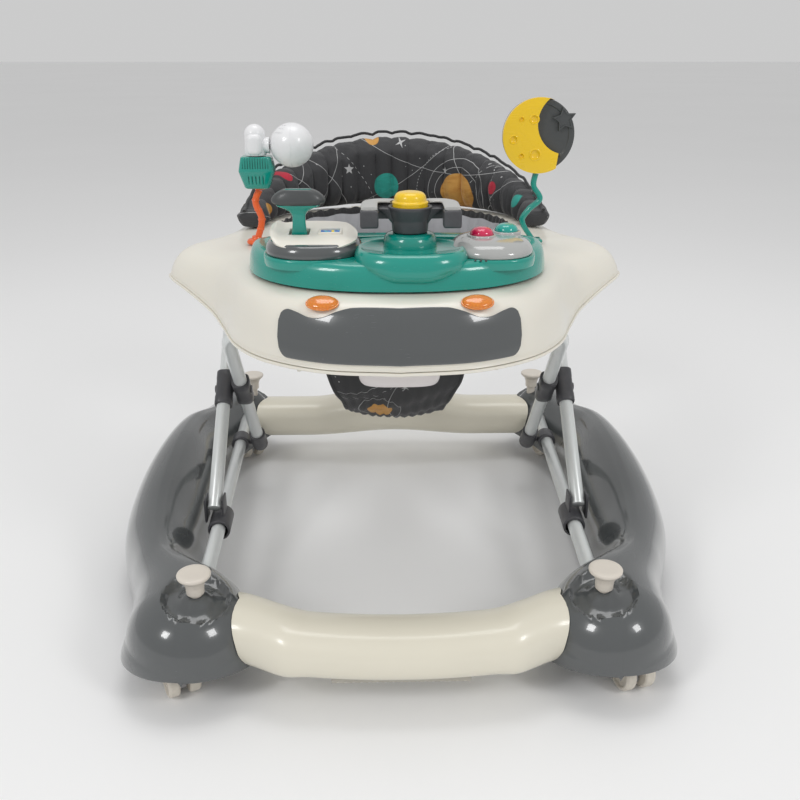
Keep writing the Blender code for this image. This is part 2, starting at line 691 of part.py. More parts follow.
def tray_point(outline_point, index, lift=0.0):
    """A point of the tray's outer surface, from the rim (index 0) over the top to the hole's wall."""
    x, y, wing = outline_point
    wing = min(1.0, max(0.0, wing))
    hx, hy = hole_point(x, y)
    reach = math.hypot(hx - x, hy - y)
    rim = TRAY_RIM + 0.026 * wing
    top = TRAY_TOP - 0.002 * wing
    if index < len(TRAY_PROFILE):
        distance, share = TRAY_PROFILE[index]
        distance *= 1 + 0.5 * wing
        height = rim + (top - rim) * share
    else:
        distance, height = (
            (reach - 0.008, TRAY_TOP), (reach - 0.001, TRAY_TOP - 0.007), (reach, TRAY_RIM + 0.006)
        )[index - len(TRAY_PROFILE)]
    t = distance / reach
    return Vector((x + (hx - x) * t, y + (hy - y) * t, height + lift))


def tray_upper_shell():
    outline = tray_outline()
    rows = [[tray_point(point, index) for point in outline] for index in range(len(TRAY_PROFILE) + 3)]
    shell = grid("tray_upper_shell", rows, CREAM, wrap=True)
    return thicken(shell, TRAY_WALL)


def tray_lower_shell():
    """The floor of the tray with the slots for the front leg bar and the lugs for the rear legs."""
    outline = tray_outline()
    rows = []
    for index in range(6):
        row = []
        for x, y, wing in outline:
            wing = min(1.0, max(0.0, wing))
            rim = TRAY_RIM + 0.026 * wing - SEAM
            edge = Vector((x, y, 0))
            inner = Vector((*hole_point(x, y, 0.0), 0))
            way = (inner - edge).normalized()
            drop = min(0.004, 0.3 * (rim - TRAY_RIM) + 0.004)
            places = (
                (edge - way * 0.002, rim), (edge - way * 0.002, rim - LOWER_PLATE),
                (edge + way * 0.020, rim - LOWER_PLATE - drop), (inner, TRAY_RIM - SEAM - LOWER_PLATE - 0.004),
                (inner, TRAY_RIM - SEAM - 0.004), (edge + way * 0.020, rim - drop),
            )
            flat, height = places[index]
            row.append((flat.x, flat.y, height))
        rows.append(list(reversed(row)))
    shell = grid("tray_lower_shell", rows, CREAM, loop=True, wrap=True)
    floor = TRAY_RIM - 0.0060
    travel = 0.0755
    for side, sign in SIDES:
        x = sign * 0.105
        front = FRONT_LEG_TOP.y - travel - TUBE_RADIUS - 0.002
        back = FRONT_LEG_TOP.y + TUBE_RADIUS + 0.002
        low = FRONT_LEG_TOP.z - TUBE_RADIUS - SLOT_PLAY
        high = FRONT_LEG_TOP.z + TUBE_RADIUS + SLOT_PLAY
        plate = box(f"{side}_slot_plate", (x - 0.002, front - 0.008, low - 0.006), (x + 0.002, back + 0.006, floor), None)
        combine(shell, plate, "UNION")
        combine(shell, box(f"{side}_slot", (x - 0.006, front, low), (x + 0.006, back, high), None))
        add_rear_lug(shell, side, sign, floor)
    return shell


def add_rear_lug(shell, side, sign, floor):
    """A fork with a cross pin that holds a rear leg's top."""
    ear_gap = TUBE_RADIUS + 0.0008
    ear = 0.003
    middle = sign * REAR_LEG_X
    top = REAR_LEG_TOP
    block_low = top.z + 0.0135
    span = ear_gap + ear
    block = box(
        f"{side}_lug_block", (middle - span, top.y - 0.011, block_low), (middle + span, top.y + 0.011, floor + 0.0035), None
    )
    combine(shell, block, "UNION")
    arm_ends = sorted((middle - sign * span * 0.5, middle - sign * 0.034))
    arm = box(
        f"{side}_lug_arm", (arm_ends[0], top.y - 0.009, floor - 0.012), (arm_ends[1], top.y + 0.009, floor + 0.001), None
    )
    combine(shell, arm, "UNION")
    for label, way in (("inner", -1), ("outer", 1)):
        a, b = sorted((middle + way * ear_gap, middle + way * span))
        ear_box = box(f"{side}_{label}_lug", (a, top.y - 0.010, top.z - 0.008), (b, top.y + 0.010, block_low + 0.004), None)
        combine(shell, ear_box, "UNION")
    reach = ear_gap + ear * 0.6
    pin = [at_x(middle + way * reach, top) for way in (-1, 1)]
    combine(shell, cylinder(f"{side}_lug_pin", pin[0], pin[1], 0.003, sides=14), "UNION")


def bumper_panel():
    """The dark panel that lies on the tray's front wall."""
    outline = tray_outline(144)
    count = len(outline)
    reach = 11
    rows = []
    for level in (0.36, 1.0, 1.7, 2.3, 2.8):
        row = []
        for k in range(-reach, reach + 1):
            point = outline[k % count]
            end = smooth_step((abs(k) / reach - 0.65) / 0.35)
            position = level + (1.5 - level) * 0.45 * end
            index = min(int(position), 3)
            part = position - index
            a, b = tray_point(point, index), tray_point(point, index + 1)
            spot = a.lerp(b, part)
            away = Vector((point[0], point[1] - TRAY_CENTRE_Y, 0)).normalized()
            slope = (b - a).normalized()
            normal = Vector((0, 0, 1)).lerp(away, max(0.0, slope.z)).normalized()
            row.append(spot + normal * BUMPER_GAP)
        rows.append(row)
    panel = grid("bumper_panel", rows, DARK_GLOSS)
    return thicken(panel, BUMPER_THICKNESS, offset=1.0)


def lamp(side, sign):
    """An oval lens on the slope above the bumper panel."""
    centre = Vector((sign * 0.071, -0.2470, LAMP_Z))
    normal = Vector((sign * 0.05, -0.42, 0.90)).normalized()
    rings = []
    for height, scale in ((0.0, 1.0), (0.002, 0.97), (0.0038, 0.80), (0.0048, 0.45)):
        ring = []
        turn = normal.to_track_quat("Z", "Y").to_matrix()
        for k in range(20):
            a, b = superellipse(0.0155 * scale, 0.0100 * scale, 2 * math.pi * k / 20, 2.0)
            ring.append(centre + turn @ Vector((a, b, height)))
        rings.append(ring)
    return solid_loft(f"{side}_lamp", rings, ORANGE_CLEAR)


def release_handle():
    """The pull handle for the height lock, under the front of the tray."""
    rings = []
    for z, scale in ((0.3330, 1.0), (0.3235, 1.0), (0.3170, 0.92), (0.3142, 0.80)):
        ring = []
        for k in range(24):
            a, b = superellipse(0.040 * scale, 0.022 * scale, 2 * math.pi * k / 24, 3.5)
            ring.append((a, b - 0.214, z))
        rings.append(ring)
    return solid_loft("release_handle", rings, HANDLE_WHITE)


# ---- seat -------------------------------------------------------------------------------------
def seat_back_pad():
    """The padded wall of the seat, standing on the back of the tray."""
    rings = []
    steps = 20
    reach = 98.0
    for k in range(steps + 1):
        angle = math.radians(-90 + -reach + 2 * reach * k / steps + 180)
        across, back = math.cos(angle), math.sin(angle)
        rise = 0.022 + 0.078 * max(0.0, back) ** 1.15
        inner, outer = 0.158, 0.190
        foot = TRAY_TOP + 0.0012
        ring = []
        for radius, height in (
            (inner, 0.0), (outer - 0.004, 0.0), (outer, 0.35), (outer + 0.006, 0.75), (outer, 0.97),
            (outer - 0.010, 1.0), (inner + 0.004, 0.93), (inner, 0.6),
        ):
            depth = radius * 0.90
            ring.append((radius * across, 0.092 + depth * back, foot + rise * height))
        rings.append(ring)
    return solid_loft("seat_back_pad", rings, FABRIC_DARK)


def seat_pouch():
    """The sling seat: a sheet from the front of the hole under the child and up to the back."""
    rows = []
    steps = 18
    for k in range(steps + 1):
        t = k / steps
        y = -0.034 + 0.246 * t
        sag = 1 - abs(2 * t - 1) ** 2.4
        z = 0.372 - 0.196 * sag
        half = 0.056 + 0.058 * (1 - sag) ** 1.5
        row = []
        for j in range(9):
            s = -1 + 2 * j / 8
            dish = 0.010 * s * s * sag
            pull = 0.055 * s * s * (1 - sag) ** 2
            along_y = y + pull * (1 if t < 0.5 else -1)
            row.append((half * s, along_y, z + dish))
        rows.append(row)
    sheet = grid("seat_pouch", rows, FABRIC_DARK)
    return thicken(sheet, 0.006, offset=0.0)


# ---- toys -------------------------------------------------------------------------------------
def panel_ring(scale, z, count=36):
    half_x, front, back, centre = PANEL
    inset = (1 - scale) * 0.083
    ring = []
    for k in range(count):
        angle = 2 * math.pi * k / count
        depth = back if math.sin(angle) > 0 else front
        a, b = superellipse(half_x - inset, depth - inset, angle, 2.25)
        ring.append((a, centre + b, z))
    return ring


def toy_panel():
    """The raised panel that carries the toys, with the post for the steering wheel."""
    levels = ((1.0, PANEL_BASE), (0.985, 0.421), (0.955, 0.4290), (0.91, 0.4325), (0.84, PANEL_TOP), (0.65, PANEL_TOP))
    rows = [panel_ring(scale, z) for scale, z in levels]
    rows.append([(0.0, PANEL[3], PANEL_TOP)] * len(rows[0]))
    panel = grid("toy_panel", rows, TEAL, wrap=True)
    thicken(panel, 0.0025)
    x, y, radius = WHEEL_POST
    profile = [(0.0, POST_TOP + 0.012), (0.005, POST_TOP + 0.012), (0.005, POST_TOP), (radius * 0.70, POST_TOP)]
    for k in range(1, 5):
        angle = math.radians(45 + 11.25 * k)
        height = CONSOLE_BASE - 0.001 + (POST_TOP - CONSOLE_BASE) * math.cos(math.radians(90 * k / 4)) ** 0.8
        profile.append((radius * math.sin(angle), height))
    profile += [(radius, CONSOLE_BASE - 0.0020), (0.0, CONSOLE_BASE - 0.0020)]
    post = turned("wheel_post", profile, TEAL, (x, y, 0), steps=20)
    return combine(panel, post, "UNION")


def console_rings(console, levels, count=24):
    x, y, half_x, half_y = console
    rings = []
    for scale, z in levels:
        ring = []
        for k in range(count):
            a, b = superellipse(half_x * scale, half_y * scale, 2 * math.pi * k / count, 2.3)
            ring.append((x + a, y + b, z))
        rings.append(ring)
    return rings


def left_console():
    top = CONSOLE_BASE + CONSOLE_HEIGHT
    levels = ((1.0, CONSOLE_BASE), (0.985, CONSOLE_BASE + 0.006), (0.93, CONSOLE_BASE + 0.012), (0.85, top))
    body = solid_loft("left_console", console_rings(LEFT_CONSOLE, levels), DARK_GLOSS)
    y = LEFT_CONSOLE[1]
    lever_pocket = ((GEAR_X - 0.0105, y - 0.0125, CONSOLE_BASE + 0.0012), (GEAR_X + 0.0105, y + 0.0125, top + 0.01))
    drum_pocket = ((DRUM_X - 0.0110, y - 0.0100, CONSOLE_BASE + 0.002), (DRUM_X + 0.0110, y + 0.0100, top + 0.01))
    combine(body, box("lever_pocket", *lever_pocket, None))
    combine(body, box("drum_pocket", *drum_pocket, None))
    return body


def console_plate():
    bottom = CONSOLE_BASE + CONSOLE_HEIGHT + SEAM
    levels = ((0.86, bottom), (0.86, bottom + 0.0016), (0.83, bottom + 0.0024))
    plate = solid_loft("console_plate", console_rings(LEFT_CONSOLE, levels), CREAM)
    y = LEFT_CONSOLE[1]
    combine(plate, box("lever_slot", (GEAR_X - 0.0100, y - 0.0118, bottom - 0.01), (GEAR_X + 0.0100, y + 0.0118, bottom + 0.01), None))
    combine(plate, box("window", (DRUM_X - 0.0105, y - 0.0092, bottom - 0.01), (DRUM_X + 0.0105, y + 0.0092, bottom + 0.01), None))
    return plate


LEVER_PIVOT_Z = CONSOLE_BASE + 0.0065
GRIP_BASE = 0.4778


def gear_lever():
    y = LEFT_CONSOLE[1]
    rings = []
    for z, half_x, half_y in (
        (LEVER_PIVOT_Z - 0.0035, 0.0090, 0.0035), (LEVER_PIVOT_Z, 0.0090, 0.0048), (0.4560, 0.0070, 0.0045),
        (0.4680, 0.0064, 0.0045), (0.4740, 0.0110, 0.0065), (GRIP_BASE, 0.0210, 0.0085),
    ):
        ring = []
        for k in range(16):
            a, b = superellipse(half_x, half_y, 2 * math.pi * k / 16, 4.0)
            ring.append((GEAR_X + a, y + b, z))
        rings.append(ring)
    return solid_loft("gear_lever", rings, TEAL)


def gear_grip():
    y = LEFT_CONSOLE[1]
    rings = []
    for z, half_x, half_y in (
        (GRIP_BASE + 0.0004, 0.0225, 0.0100), (0.4820, 0.0262, 0.0120), (0.4870, 0.0235, 0.0110), (0.4925, 0.0145, 0.0080),
    ):
        ring = []
        for k in range(20):
            a, b = superellipse(half_x, half_y, 2 * math.pi * k / 20, 2.8)
            ring.append((GEAR_X + a, y + b, z))
        rings.append(ring)
    return solid_loft("gear_grip", rings, DARK_GLOSS)


def picture_drum():
    centre = (DRUM_X, LEFT_CONSOLE[1], CONSOLE_BASE + 0.0112)
    profile = ((0.0, 0.0098), (0.0082, 0.0098), (0.0082, -0.0098), (0.0, -0.0098))
    return turned("picture_drum", profile, PICTURE, centre, axis=(1, 0, 0), steps=18)


HUB_BOTTOM = POST_TOP + 0.0006
HUB_TOP = 0.4770


def steering_wheel():
    """The hub with its horn recess, two arms and two hand grips."""
    x, y, _ = WHEEL_POST
    profile = (
        (0.0178, HUB_TOP - 0.0070), (0.0178, HUB_TOP), (0.0212, HUB_TOP), (0.0190, HUB_BOTTOM), (0.0055, HUB_BOTTOM),
        (0.0055, HUB_BOTTOM + 0.0135), (0.0, HUB_BOTTOM + 0.0135), (0.0, HUB_TOP - 0.0070),
    )
    bm = bmesh.new()
    verts = [bm.verts.new((radius, 0, height)) for radius, height in profile]
    for a, b in zip(verts, verts[1:]):
        if a.co.x > 0 or b.co.x > 0:
            bm.edges.new((a, b))
    bm.edges.new((verts[-1], verts[0]))
    hub = from_bmesh("steering_wheel", bm, WHEEL_DARK, smooth=None)
    screw = hub.modifiers.new("turn", "SCREW")
    screw.steps = screw.render_steps = 20
    screw.use_merge_vertices = True
    screw.merge_threshold = 0.00001
    screw.use_smooth_shade = False
    hub.location = (x, y, 0)
    for label, way in (("left", -1), ("right", 1)):
        a, b = sorted((x + way * 0.0195, x + way * 0.0450))
        combine(hub, box(f"{label}_arm", (a, y - 0.0045, 0.4640), (b, y + 0.0045, 0.4745), None), "UNION")
        a, b = sorted((x + way * 0.0330, x + way * 0.0520))
        grip = box(f"{label}_hand_grip", (a, y - 0.0230, 0.4545), (b, y + 0.0110, 0.4765), None, bevel=0.003)
        combine(hub, grip, "UNION")
    return hub


def horn_button():
    x, y, _ = WHEEL_POST
    bottom = HUB_TOP - 0.0070 + 0.0030
    profile = (
        (0.0, 0.4905), (0.007, 0.4898), (0.0125, 0.4868), (0.0160, 0.4825), (0.0172, 0.4790),
        (0.0172, bottom), (0.0, bottom),
    )
    return turned("horn_button", profile, YELLOW, (x, y, 0))


RED_BUTTON = (0.0815, -0.170)
TEAL_BUTTON = (0.1080, -0.152)
BUTTON_RADIUS = 0.0115
BUTTON_TRAVEL = 0.0025
BUTTON_BOTTOM = CONSOLE_BASE + 0.0125


def right_console():
    top = CONSOLE_BASE + CONSOLE_HEIGHT + 0.0012
    levels = (
        (1.0, CONSOLE_BASE), (0.97, CONSOLE_BASE + 0.006), (0.88, CONSOLE_BASE + 0.0115), (0.74, top - 0.0008), (0.45, top),
    )
    body = solid_loft("right_console", console_rings(RIGHT_CONSOLE, levels), PALE_CLEAR)
    floor = BUTTON_BOTTOM - BUTTON_TRAVEL - 0.0005
    for label, (x, y) in (("red", RED_BUTTON), ("teal", TEAL_BUTTON)):
        pocket = cylinder(f"{label}_pocket", (x, y, floor), (x, y, top + 0.02), BUTTON_RADIUS + 0.0006)
        combine(body, pocket)
    return body


def push_button(name, spot, finish):
    top = BUTTON_BOTTOM + 0.0100
    profile = (
        (0.0, top), (0.0045, top - 0.0005), (0.0085, top - 0.0022), (BUTTON_RADIUS, top - 0.0058),
        (BUTTON_RADIUS, BUTTON_BOTTOM), (0.0, BUTTON_BOTTOM),
    )
    return turned(name, profile, finish, (*spot, 0))


def sound_module():
    """The electronics box under the right console: board, batteries and loudspeaker in one case."""
    low = (0.048, -0.184, TRAY_TOP + 0.0025)
    high = (0.106, -0.124, 0.4285)
    return box("sound_module", low, high, MODULE_BLACK, bevel=0.002)


def stalk(name, sign, bends, top, finish):
    """A wavy plastic stalk on a round foot."""
    x, y = STALK_FOOT
    base = TRAY_TOP + 0.0010
    stations = [(base + 0.002, sign * x)] + list(bends)
    points = []
    steps = 16
    for k in range(steps + 1):
        z = stations[0][0] + (top - stations[0][0]) * k / steps
        points.append((through(stations, z, 1), y, z))
    bar = pipe(name, points, STALK_RADIUS, finish, resolution=2)
    foot = cylinder(f"{name}_foot", (sign * x, y, base), (sign * x, y, base + 0.005), 0.0115)
    return combine(bar, foot, "UNION")


BOX_BOTTOM = 0.4705
MOON_BOTTOM = MOON[1] - MOON[2]


def orange_stalk():
    return stalk("orange_stalk", -1, ((0.435, -0.1530), (0.455, -0.1590), (BOX_BOTTOM, -0.1530)), BOX_BOTTOM - 0.0022, ORANGE)


def teal_stalk():
    bends = ((0.432, 0.1460), (0.445, 0.1530), (0.457, 0.1650), (0.472, 0.1570), (MOON_BOTTOM, 0.1590))
    return stalk("teal_stalk", 1, bends, MOON_BOTTOM - 0.0014, TEAL)


def teal_box():
    x, y = -0.1550, STALK_FOOT[1]
    rings = []
    for z, half_x, half_y in ((BOX_BOTTOM, 0.0130, 0.0115), (0.4960, 0.0180, 0.0155), (0.5055, 0.0165, 0.0140)):
        ring = []
        for k in range(24):
            a, b = superellipse(half_x, half_y, 2 * math.pi * k / 24, 5.0)
            ring.append((x + a, y + b, z))
        rings.append(ring)
    return solid_loft("teal_box", rings, TEAL)


def white_toy():
    """The upright capsule on the box, with the arm that carries the ball."""
    y = STALK_FOOT[1]
    x = -0.1540
    profile = [(0.0, 0.5385)]
    for k in range(1, 5):
        angle = math.radians(90 - 22.5 * k)
        profile.append((0.0125 * math.cos(angle), 0.5260 + 0.0125 * math.sin(angle)))
    profile += [(0.0125, 0.5062), (0.0, 0.5062)]
    body = turned("white_toy", profile, TOY_WHITE, (x, y, 0), steps=20)
    arm_end = BALL[0] - BALL[2] - 0.0006
    arm = cylinder("toy_arm", (x, y, BALL[1]), (arm_end, y, BALL[1]), 0.0085)
    combine(body, arm, "UNION")
    pin = cylinder("ball_pin", (arm_end - 0.004, y, BALL[1]), (BALL[0], y, BALL[1]), 0.0025, sides=12)
    return combine(body, pin, "UNION")


def white_ball():
    y = STALK_FOOT[1]
    bm = bmesh.new()
    bmesh.ops.create_uvsphere(bm, u_segments=16, v_segments=10, radius=BALL[2])
    ball = from_bmesh("white_ball", bm, TOY_WHITE)
    ball.location = (BALL[0], y, BALL[1])
    start = (BALL[0] - BALL[2] - 0.004, y, BALL[1])
    end = (BALL[0] + 0.003, y, BALL[1])
    return combine(ball, cylinder("ball_bore", start, end, 0.0025 + RUNNING, sides=12))


def moon_disc():
    """The dark disc with its raised star."""
    x, z, radius = MOON
    y = STALK_FOOT[1]
    disc = cylinder("moon_disc", (x, y - 0.003, z), (x, y + 0.003, z), radius, MOON_DARK, sides=40)
    star = []
    for k in range(10):
        angle = math.radians(90 + 10 + 36 * k)
        reach = 0.0135 if k % 2 == 0 else 0.0066
        star.append((x + 0.0275 + reach * math.cos(angle), z + 0.0170 + reach * math.sin(angle)))
    rings = [[(a, depth, b) for a, b in star] for depth in (y - 0.0062, y + 0.001)]
    return combine(disc, solid_loft("moon_star", rings, None), "UNION")


def moon_crescent():
    """The yellow crescent in front of the disc."""
    x, z, radius = MOON
    y = STALK_FOOT[1]
    outline = []
    for k in range(19):
        angle = math.radians(72 + (300 - 72) * k / 18)
        outline.append((x + (radius + 0.0005) * math.cos(angle), z + (radius + 0.0005) * math.sin(angle)))
    cut_x, cut_z, cut_radius = x + 0.0310, z + 0.0135, 0.0335
    start = math.atan2(outline[-1][1] - cut_z, outline[-1][0] - cut_x)
    end = math.atan2(outline[0][1] - cut_z, outline[0][0] - cut_x)
    start, end = start % (2 * math.pi), end % (2 * math.pi)
    for k in range(1, 10):
        angle = start + (end - start) * k / 10
        outline.append((cut_x + cut_radius * math.cos(angle), cut_z + cut_radius * math.sin(angle)))
    rings = [[(a, depth, b) for a, b in outline] for depth in (y - 0.0095, y - 0.0036)]
    return solid_loft("moon_crescent", rings, YELLOW)


# ---- build ------------------------------------------------------------------------------------
clear_scene()
PARTS = collection("baby_walker")
CUTTERS = collection("cutters")

DARK_GLOSS = material("dark_gloss", (0.09, 0.095, 0.10), 0.18)
CREAM = material("cream", (0.80, 0.76, 0.68), 0.30)
KNOB_CREAM = material("knob_cream", (0.72, 0.67, 0.58), 0.35)
WHEEL_BEIGE = material("wheel_beige", (0.70, 0.66, 0.58), 0.45)
CASTER_GREY = material("caster_grey", (0.30, 0.30, 0.31), 0.45)
PALE_METAL = material("pale_metal", (0.72, 0.74, 0.74), 0.32, 0.2)
CLIP_DARK = material("clip_dark", (0.055, 0.055, 0.06), 0.42)
RUBBER = material("rubber", (0.03, 0.03, 0.03), 0.85)
HANDLE_WHITE = material("handle_white", (0.80, 0.78, 0.76), 0.35)
ORANGE_CLEAR = material("orange_clear", (0.80, 0.28, 0.03), 0.12)
ORANGE = material("orange", (0.85, 0.16, 0.03), 0.35)
TEAL = material("teal", (0.0, 0.30, 0.24), 0.22)
YELLOW = material("yellow", (0.90, 0.60, 0.01), 0.25)
RED = material("red", (0.60, 0.01, 0.08), 0.15)
PALE_CLEAR = material("pale_clear", (0.50, 0.52, 0.50), 0.15)
WHEEL_DARK = material("wheel_dark", (0.06, 0.06, 0.065), 0.45)
TOY_WHITE = material("toy_white", (0.82, 0.82, 0.82), 0.30)
MOON_DARK = material("moon_dark", (0.10, 0.11, 0.12), 0.55)
PICTURE = material("picture", (0.10, 0.30, 0.55), 0.30)
MODULE_BLACK = material("module_black", (0.02, 0.02, 0.02), 0.50)
FABRIC_DARK = material("fabric_dark", (0.045, 0.045, 0.048), 0.85)


def build():
    for side, sign in SIDES:
        side_shell(side, sign)
        base_tube(side, sign)
        rear_bracket(side, sign)
        leg_cap(side, sign)
        front_leg_clip(side, sign)
        rear_leg_sleeve(side, sign)
        rear_leg_tube(side, sign)
        slide_collar(side, sign)
        lamp(side, sign)
    rail("front_rail", rear=False)
    rail("rear_rail", rear=True)
    friction_strip()
    for name, end, spot in knob_places():
        lift_knob(name, end, spot)
        caster(name, caster_place(name, end))
    front_leg_tube()
    tray_upper_shell()
    tray_lower_shell()
    bumper_panel()
    release_handle()
    seat_back_pad()
    seat_pouch()
    toy_panel()
    left_console()
    console_plate()
    gear_lever()
    gear_grip()
    picture_drum()
    steering_wheel()
    horn_button()
    right_console()
    push_button("red_button", RED_BUTTON, RED)
    push_button("teal_button", TEAL_BUTTON, TEAL)
    sound_module()
    orange_stalk()
    teal_stalk()
    teal_box()
    white_toy()
    white_ball()
    moon_disc()
    moon_crescent()


build()
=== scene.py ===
"""Baby walker: glossy base shells on casters, two crossing leg frames, a cream tray with toys and a
gathered fabric seat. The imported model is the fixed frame; every piece here is made around it."""

import functools
import math

import bpy
import numpy as np
from bpy.props import FloatProperty, FloatVectorProperty, PointerProperty
from mathutils import Matrix, Vector, noise


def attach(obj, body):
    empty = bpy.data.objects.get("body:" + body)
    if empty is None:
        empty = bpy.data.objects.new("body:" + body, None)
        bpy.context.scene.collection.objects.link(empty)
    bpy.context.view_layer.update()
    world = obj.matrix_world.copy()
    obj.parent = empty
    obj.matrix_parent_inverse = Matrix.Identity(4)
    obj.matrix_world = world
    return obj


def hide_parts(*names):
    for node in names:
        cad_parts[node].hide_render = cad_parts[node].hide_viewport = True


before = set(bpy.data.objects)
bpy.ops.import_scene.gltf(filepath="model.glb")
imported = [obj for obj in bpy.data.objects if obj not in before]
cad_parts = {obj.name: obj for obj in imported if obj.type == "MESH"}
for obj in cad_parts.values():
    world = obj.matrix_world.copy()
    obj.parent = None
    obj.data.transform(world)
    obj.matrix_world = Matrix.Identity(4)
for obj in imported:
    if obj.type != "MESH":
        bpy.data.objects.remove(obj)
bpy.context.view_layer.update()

bl_info = {
    "name": "Baby walker",
    "version": (1, 0, 0),
    "blender": (4, 5, 0),
    "location": "View3D > Sidebar > Walker",
    "description": "Builds a folding baby walker with a toy tray, piece by piece",
    "category": "Add Mesh",
}

# ---- fixed layout, in metres ------------------------------------------------------------------
FRONT_CORNER = (0.2150, -0.265, 0.0685)
REAR_CORNER = (0.240, 0.292, 0.052)
SHELL_WALL = 0.003
RIM_LOW = 0.020
RIM_RISE = 0.028
HALF_LENGTH = 0.345
RIM_FLARE = 0.005
SIDE_STATIONS = (        # y, inner x, outer x, crown height
    (-0.265, 0.1465, 0.2835, 0.112), (-0.215, 0.168, 0.290, 0.109), (-0.165, 0.224, 0.305, 0.102),
    (-0.090, 0.233, 0.333, 0.106), (0.000, 0.237, 0.342, 0.116), (0.090, 0.241, 0.338, 0.121),
    (0.170, 0.245, 0.326, 0.116), (0.235, 0.222, 0.307, 0.104), (0.292, 0.188, 0.292, 0.106),
)
KNOBS = {"front": (0.206, -0.275), "rear": (0.2225, 0.290)}
CASTERS = {"front": (0.2355, -0.269), "rear": (0.242, 0.292)}
CASTER_TURN = {"front_left": 206.0, "front_right": 194.0, "rear_left": 213.0, "rear_right": 199.0}
KNOB_TOP = 0.135
CARRIAGE_Z = 0.059
WHEEL_RADIUS = 0.020
WHEEL_GAP = 0.0095
WHEEL_WIDTH = 0.012
CASTER_TRAIL = 0.020
BASE_TUBE_Z = 0.078
LEG_X = {"front": 0.198, "rear": 0.2215}
FRONT_LEG_UP = math.pi - math.radians(48.5)
REAR_LEG_UP = math.radians(40.3)
TRAY_TOP = 0.407
TRAY_RIM = 0.345
SEAT_HOLE = (0.150, 0.135, 0.090)
TRAY_HALF_OUTLINE = (    # x, y and how much of the point is wing
    (0.000, -0.276, 0.0), (0.070, -0.266, 0.0), (0.127, -0.234, 0.0), (0.162, -0.188, 0.0),
    (0.185, -0.126, 0.0), (0.203, -0.086, 0.2), (0.233, -0.052, 0.7), (0.263, -0.010, 1.0),
    (0.262, 0.014, 1.0), (0.240, 0.048, 0.7), (0.221, 0.090, 0.2), (0.210, 0.140, 0.0),
    (0.185, 0.200, 0.0), (0.128, 0.250, 0.0), (0.066, 0.270, 0.0), (0.000, 0.276, 0.0),
)
TRAY_PROFILE = (         # share of the way up the edge, distance in, share of the height
    (0.0, 0.000, 0.00), (1.0, 0.0030, 0.34), (2.0, 0.0085, 0.66), (3.0, 0.0170, 0.87),
    (4.0, 0.0300, 0.965), (5.0, 0.0480, 1.00),
)
PANEL = (0.1535, 0.125, 0.040, -0.110)      # half width, depth forwards and back, centre y
PANEL_TOP = 0.4335
LEFT_CONSOLE = (-0.082, -0.168, 0.047, 0.045)
RIGHT_CONSOLE = (0.091, -0.170, 0.040, 0.045)
WHEEL_POST = (0.0115, -0.168, 0.0265)
STALK_Y = -0.010
MOON = (0.159, 0.527, 0.0400)
BALL = (-0.115, 0.517, 0.0240)
GEAR_X = -0.096
DRUM_X = -0.066
RED_BUTTON = (0.0815, -0.170)
TEAL_BUTTON = (0.1080, -0.152)
SIDES = (("left", -1.0), ("right", 1.0))
SEAT_CENTRE_Y = 0.092


def step_along(angle, distance):
    return Vector((0, math.cos(angle) * distance, math.sin(angle) * distance))


REAR_PIVOT = Vector((0, 0.158, BASE_TUBE_Z))
CROSSING = REAR_PIVOT + step_along(FRONT_LEG_UP, 0.169)
FRONT_LEG_TOP = REAR_PIVOT + step_along(FRONT_LEG_UP, 0.3178)
FRONT_PIVOT = CROSSING - step_along(REAR_LEG_UP, 0.1565)
REAR_LEG_TOP = FRONT_PIVOT + step_along(REAR_LEG_UP, 0.2940)


# ---- shaping tools ----------------------------------------------------------------------------
def chosen():
    """The sizes and colours set in the panel."""
    return bpy.context.scene.walker_look


def smooth_step(t):
    t = min(1.0, max(0.0, t))
    return t * t * (3 - 2 * t)


def through(stations, at, column):
    """A value read from a smooth curve through the stations' first column."""
    last = len(stations) - 1
    i = 0
    while i < last - 1 and at > stations[i + 1][0]:
        i += 1
    before, start = stations[max(i - 1, 0)], stations[i]
    end, after = stations[i + 1], stations[min(i + 2, last)]
    span = end[0] - start[0]
    t = min(1.0, max(0.0, (at - start[0]) / span))
    slope_a = (end[column] - before[column]) / (end[0] - before[0]) * span
    slope_b = (after[column] - start[column]) / (after[0] - start[0]) * span
    return (
        (2 * t**3 - 3 * t**2 + 1) * start[column] + (t**3 - 2 * t**2 + t) * slope_a
        + (3 * t**2 - 2 * t**3) * end[column] + (t**3 - t**2) * slope_b
    )


def superellipse(a, b, angle, power):
    c, s = math.cos(angle), math.sin(angle)
    scale = (abs(c) ** power + abs(s) ** power) ** (-1.0 / power)
    return a * c * scale, b * s * scale


def at_x(x, point):
    return Vector((x, point.y, point.z))


def deselect():
    if bpy.context.mode != "OBJECT":
        bpy.ops.object.mode_set(mode="OBJECT")
    bpy.ops.object.select_all(action="DESELECT")


def pick(*pieces):
    deselect()
    for piece in pieces:
        piece.select_set(True)
    bpy.context.view_layer.objects.active = pieces[0]


def settle(piece):
    """Puts the piece's place into its mesh and leaves its object at the origin."""
    pick(piece)
    bpy.ops.object.transform_apply(location=True, rotation=True, scale=True)
    return piece


def tidy_mesh(piece, merge=0.00002, outward=True):
    pick(piece)
    bpy.ops.object.mode_set(mode="EDIT")
    bpy.ops.mesh.select_all(action="SELECT")
    bpy.ops.mesh.remove_doubles(threshold=merge)
    bpy.ops.mesh.dissolve_degenerate(threshold=0.000005)
    if outward:
        bpy.ops.mesh.select_all(action="SELECT")
        bpy.ops.mesh.normals_make_consistent(inside=False)
    bpy.ops.object.mode_set(mode="OBJECT")
    return piece


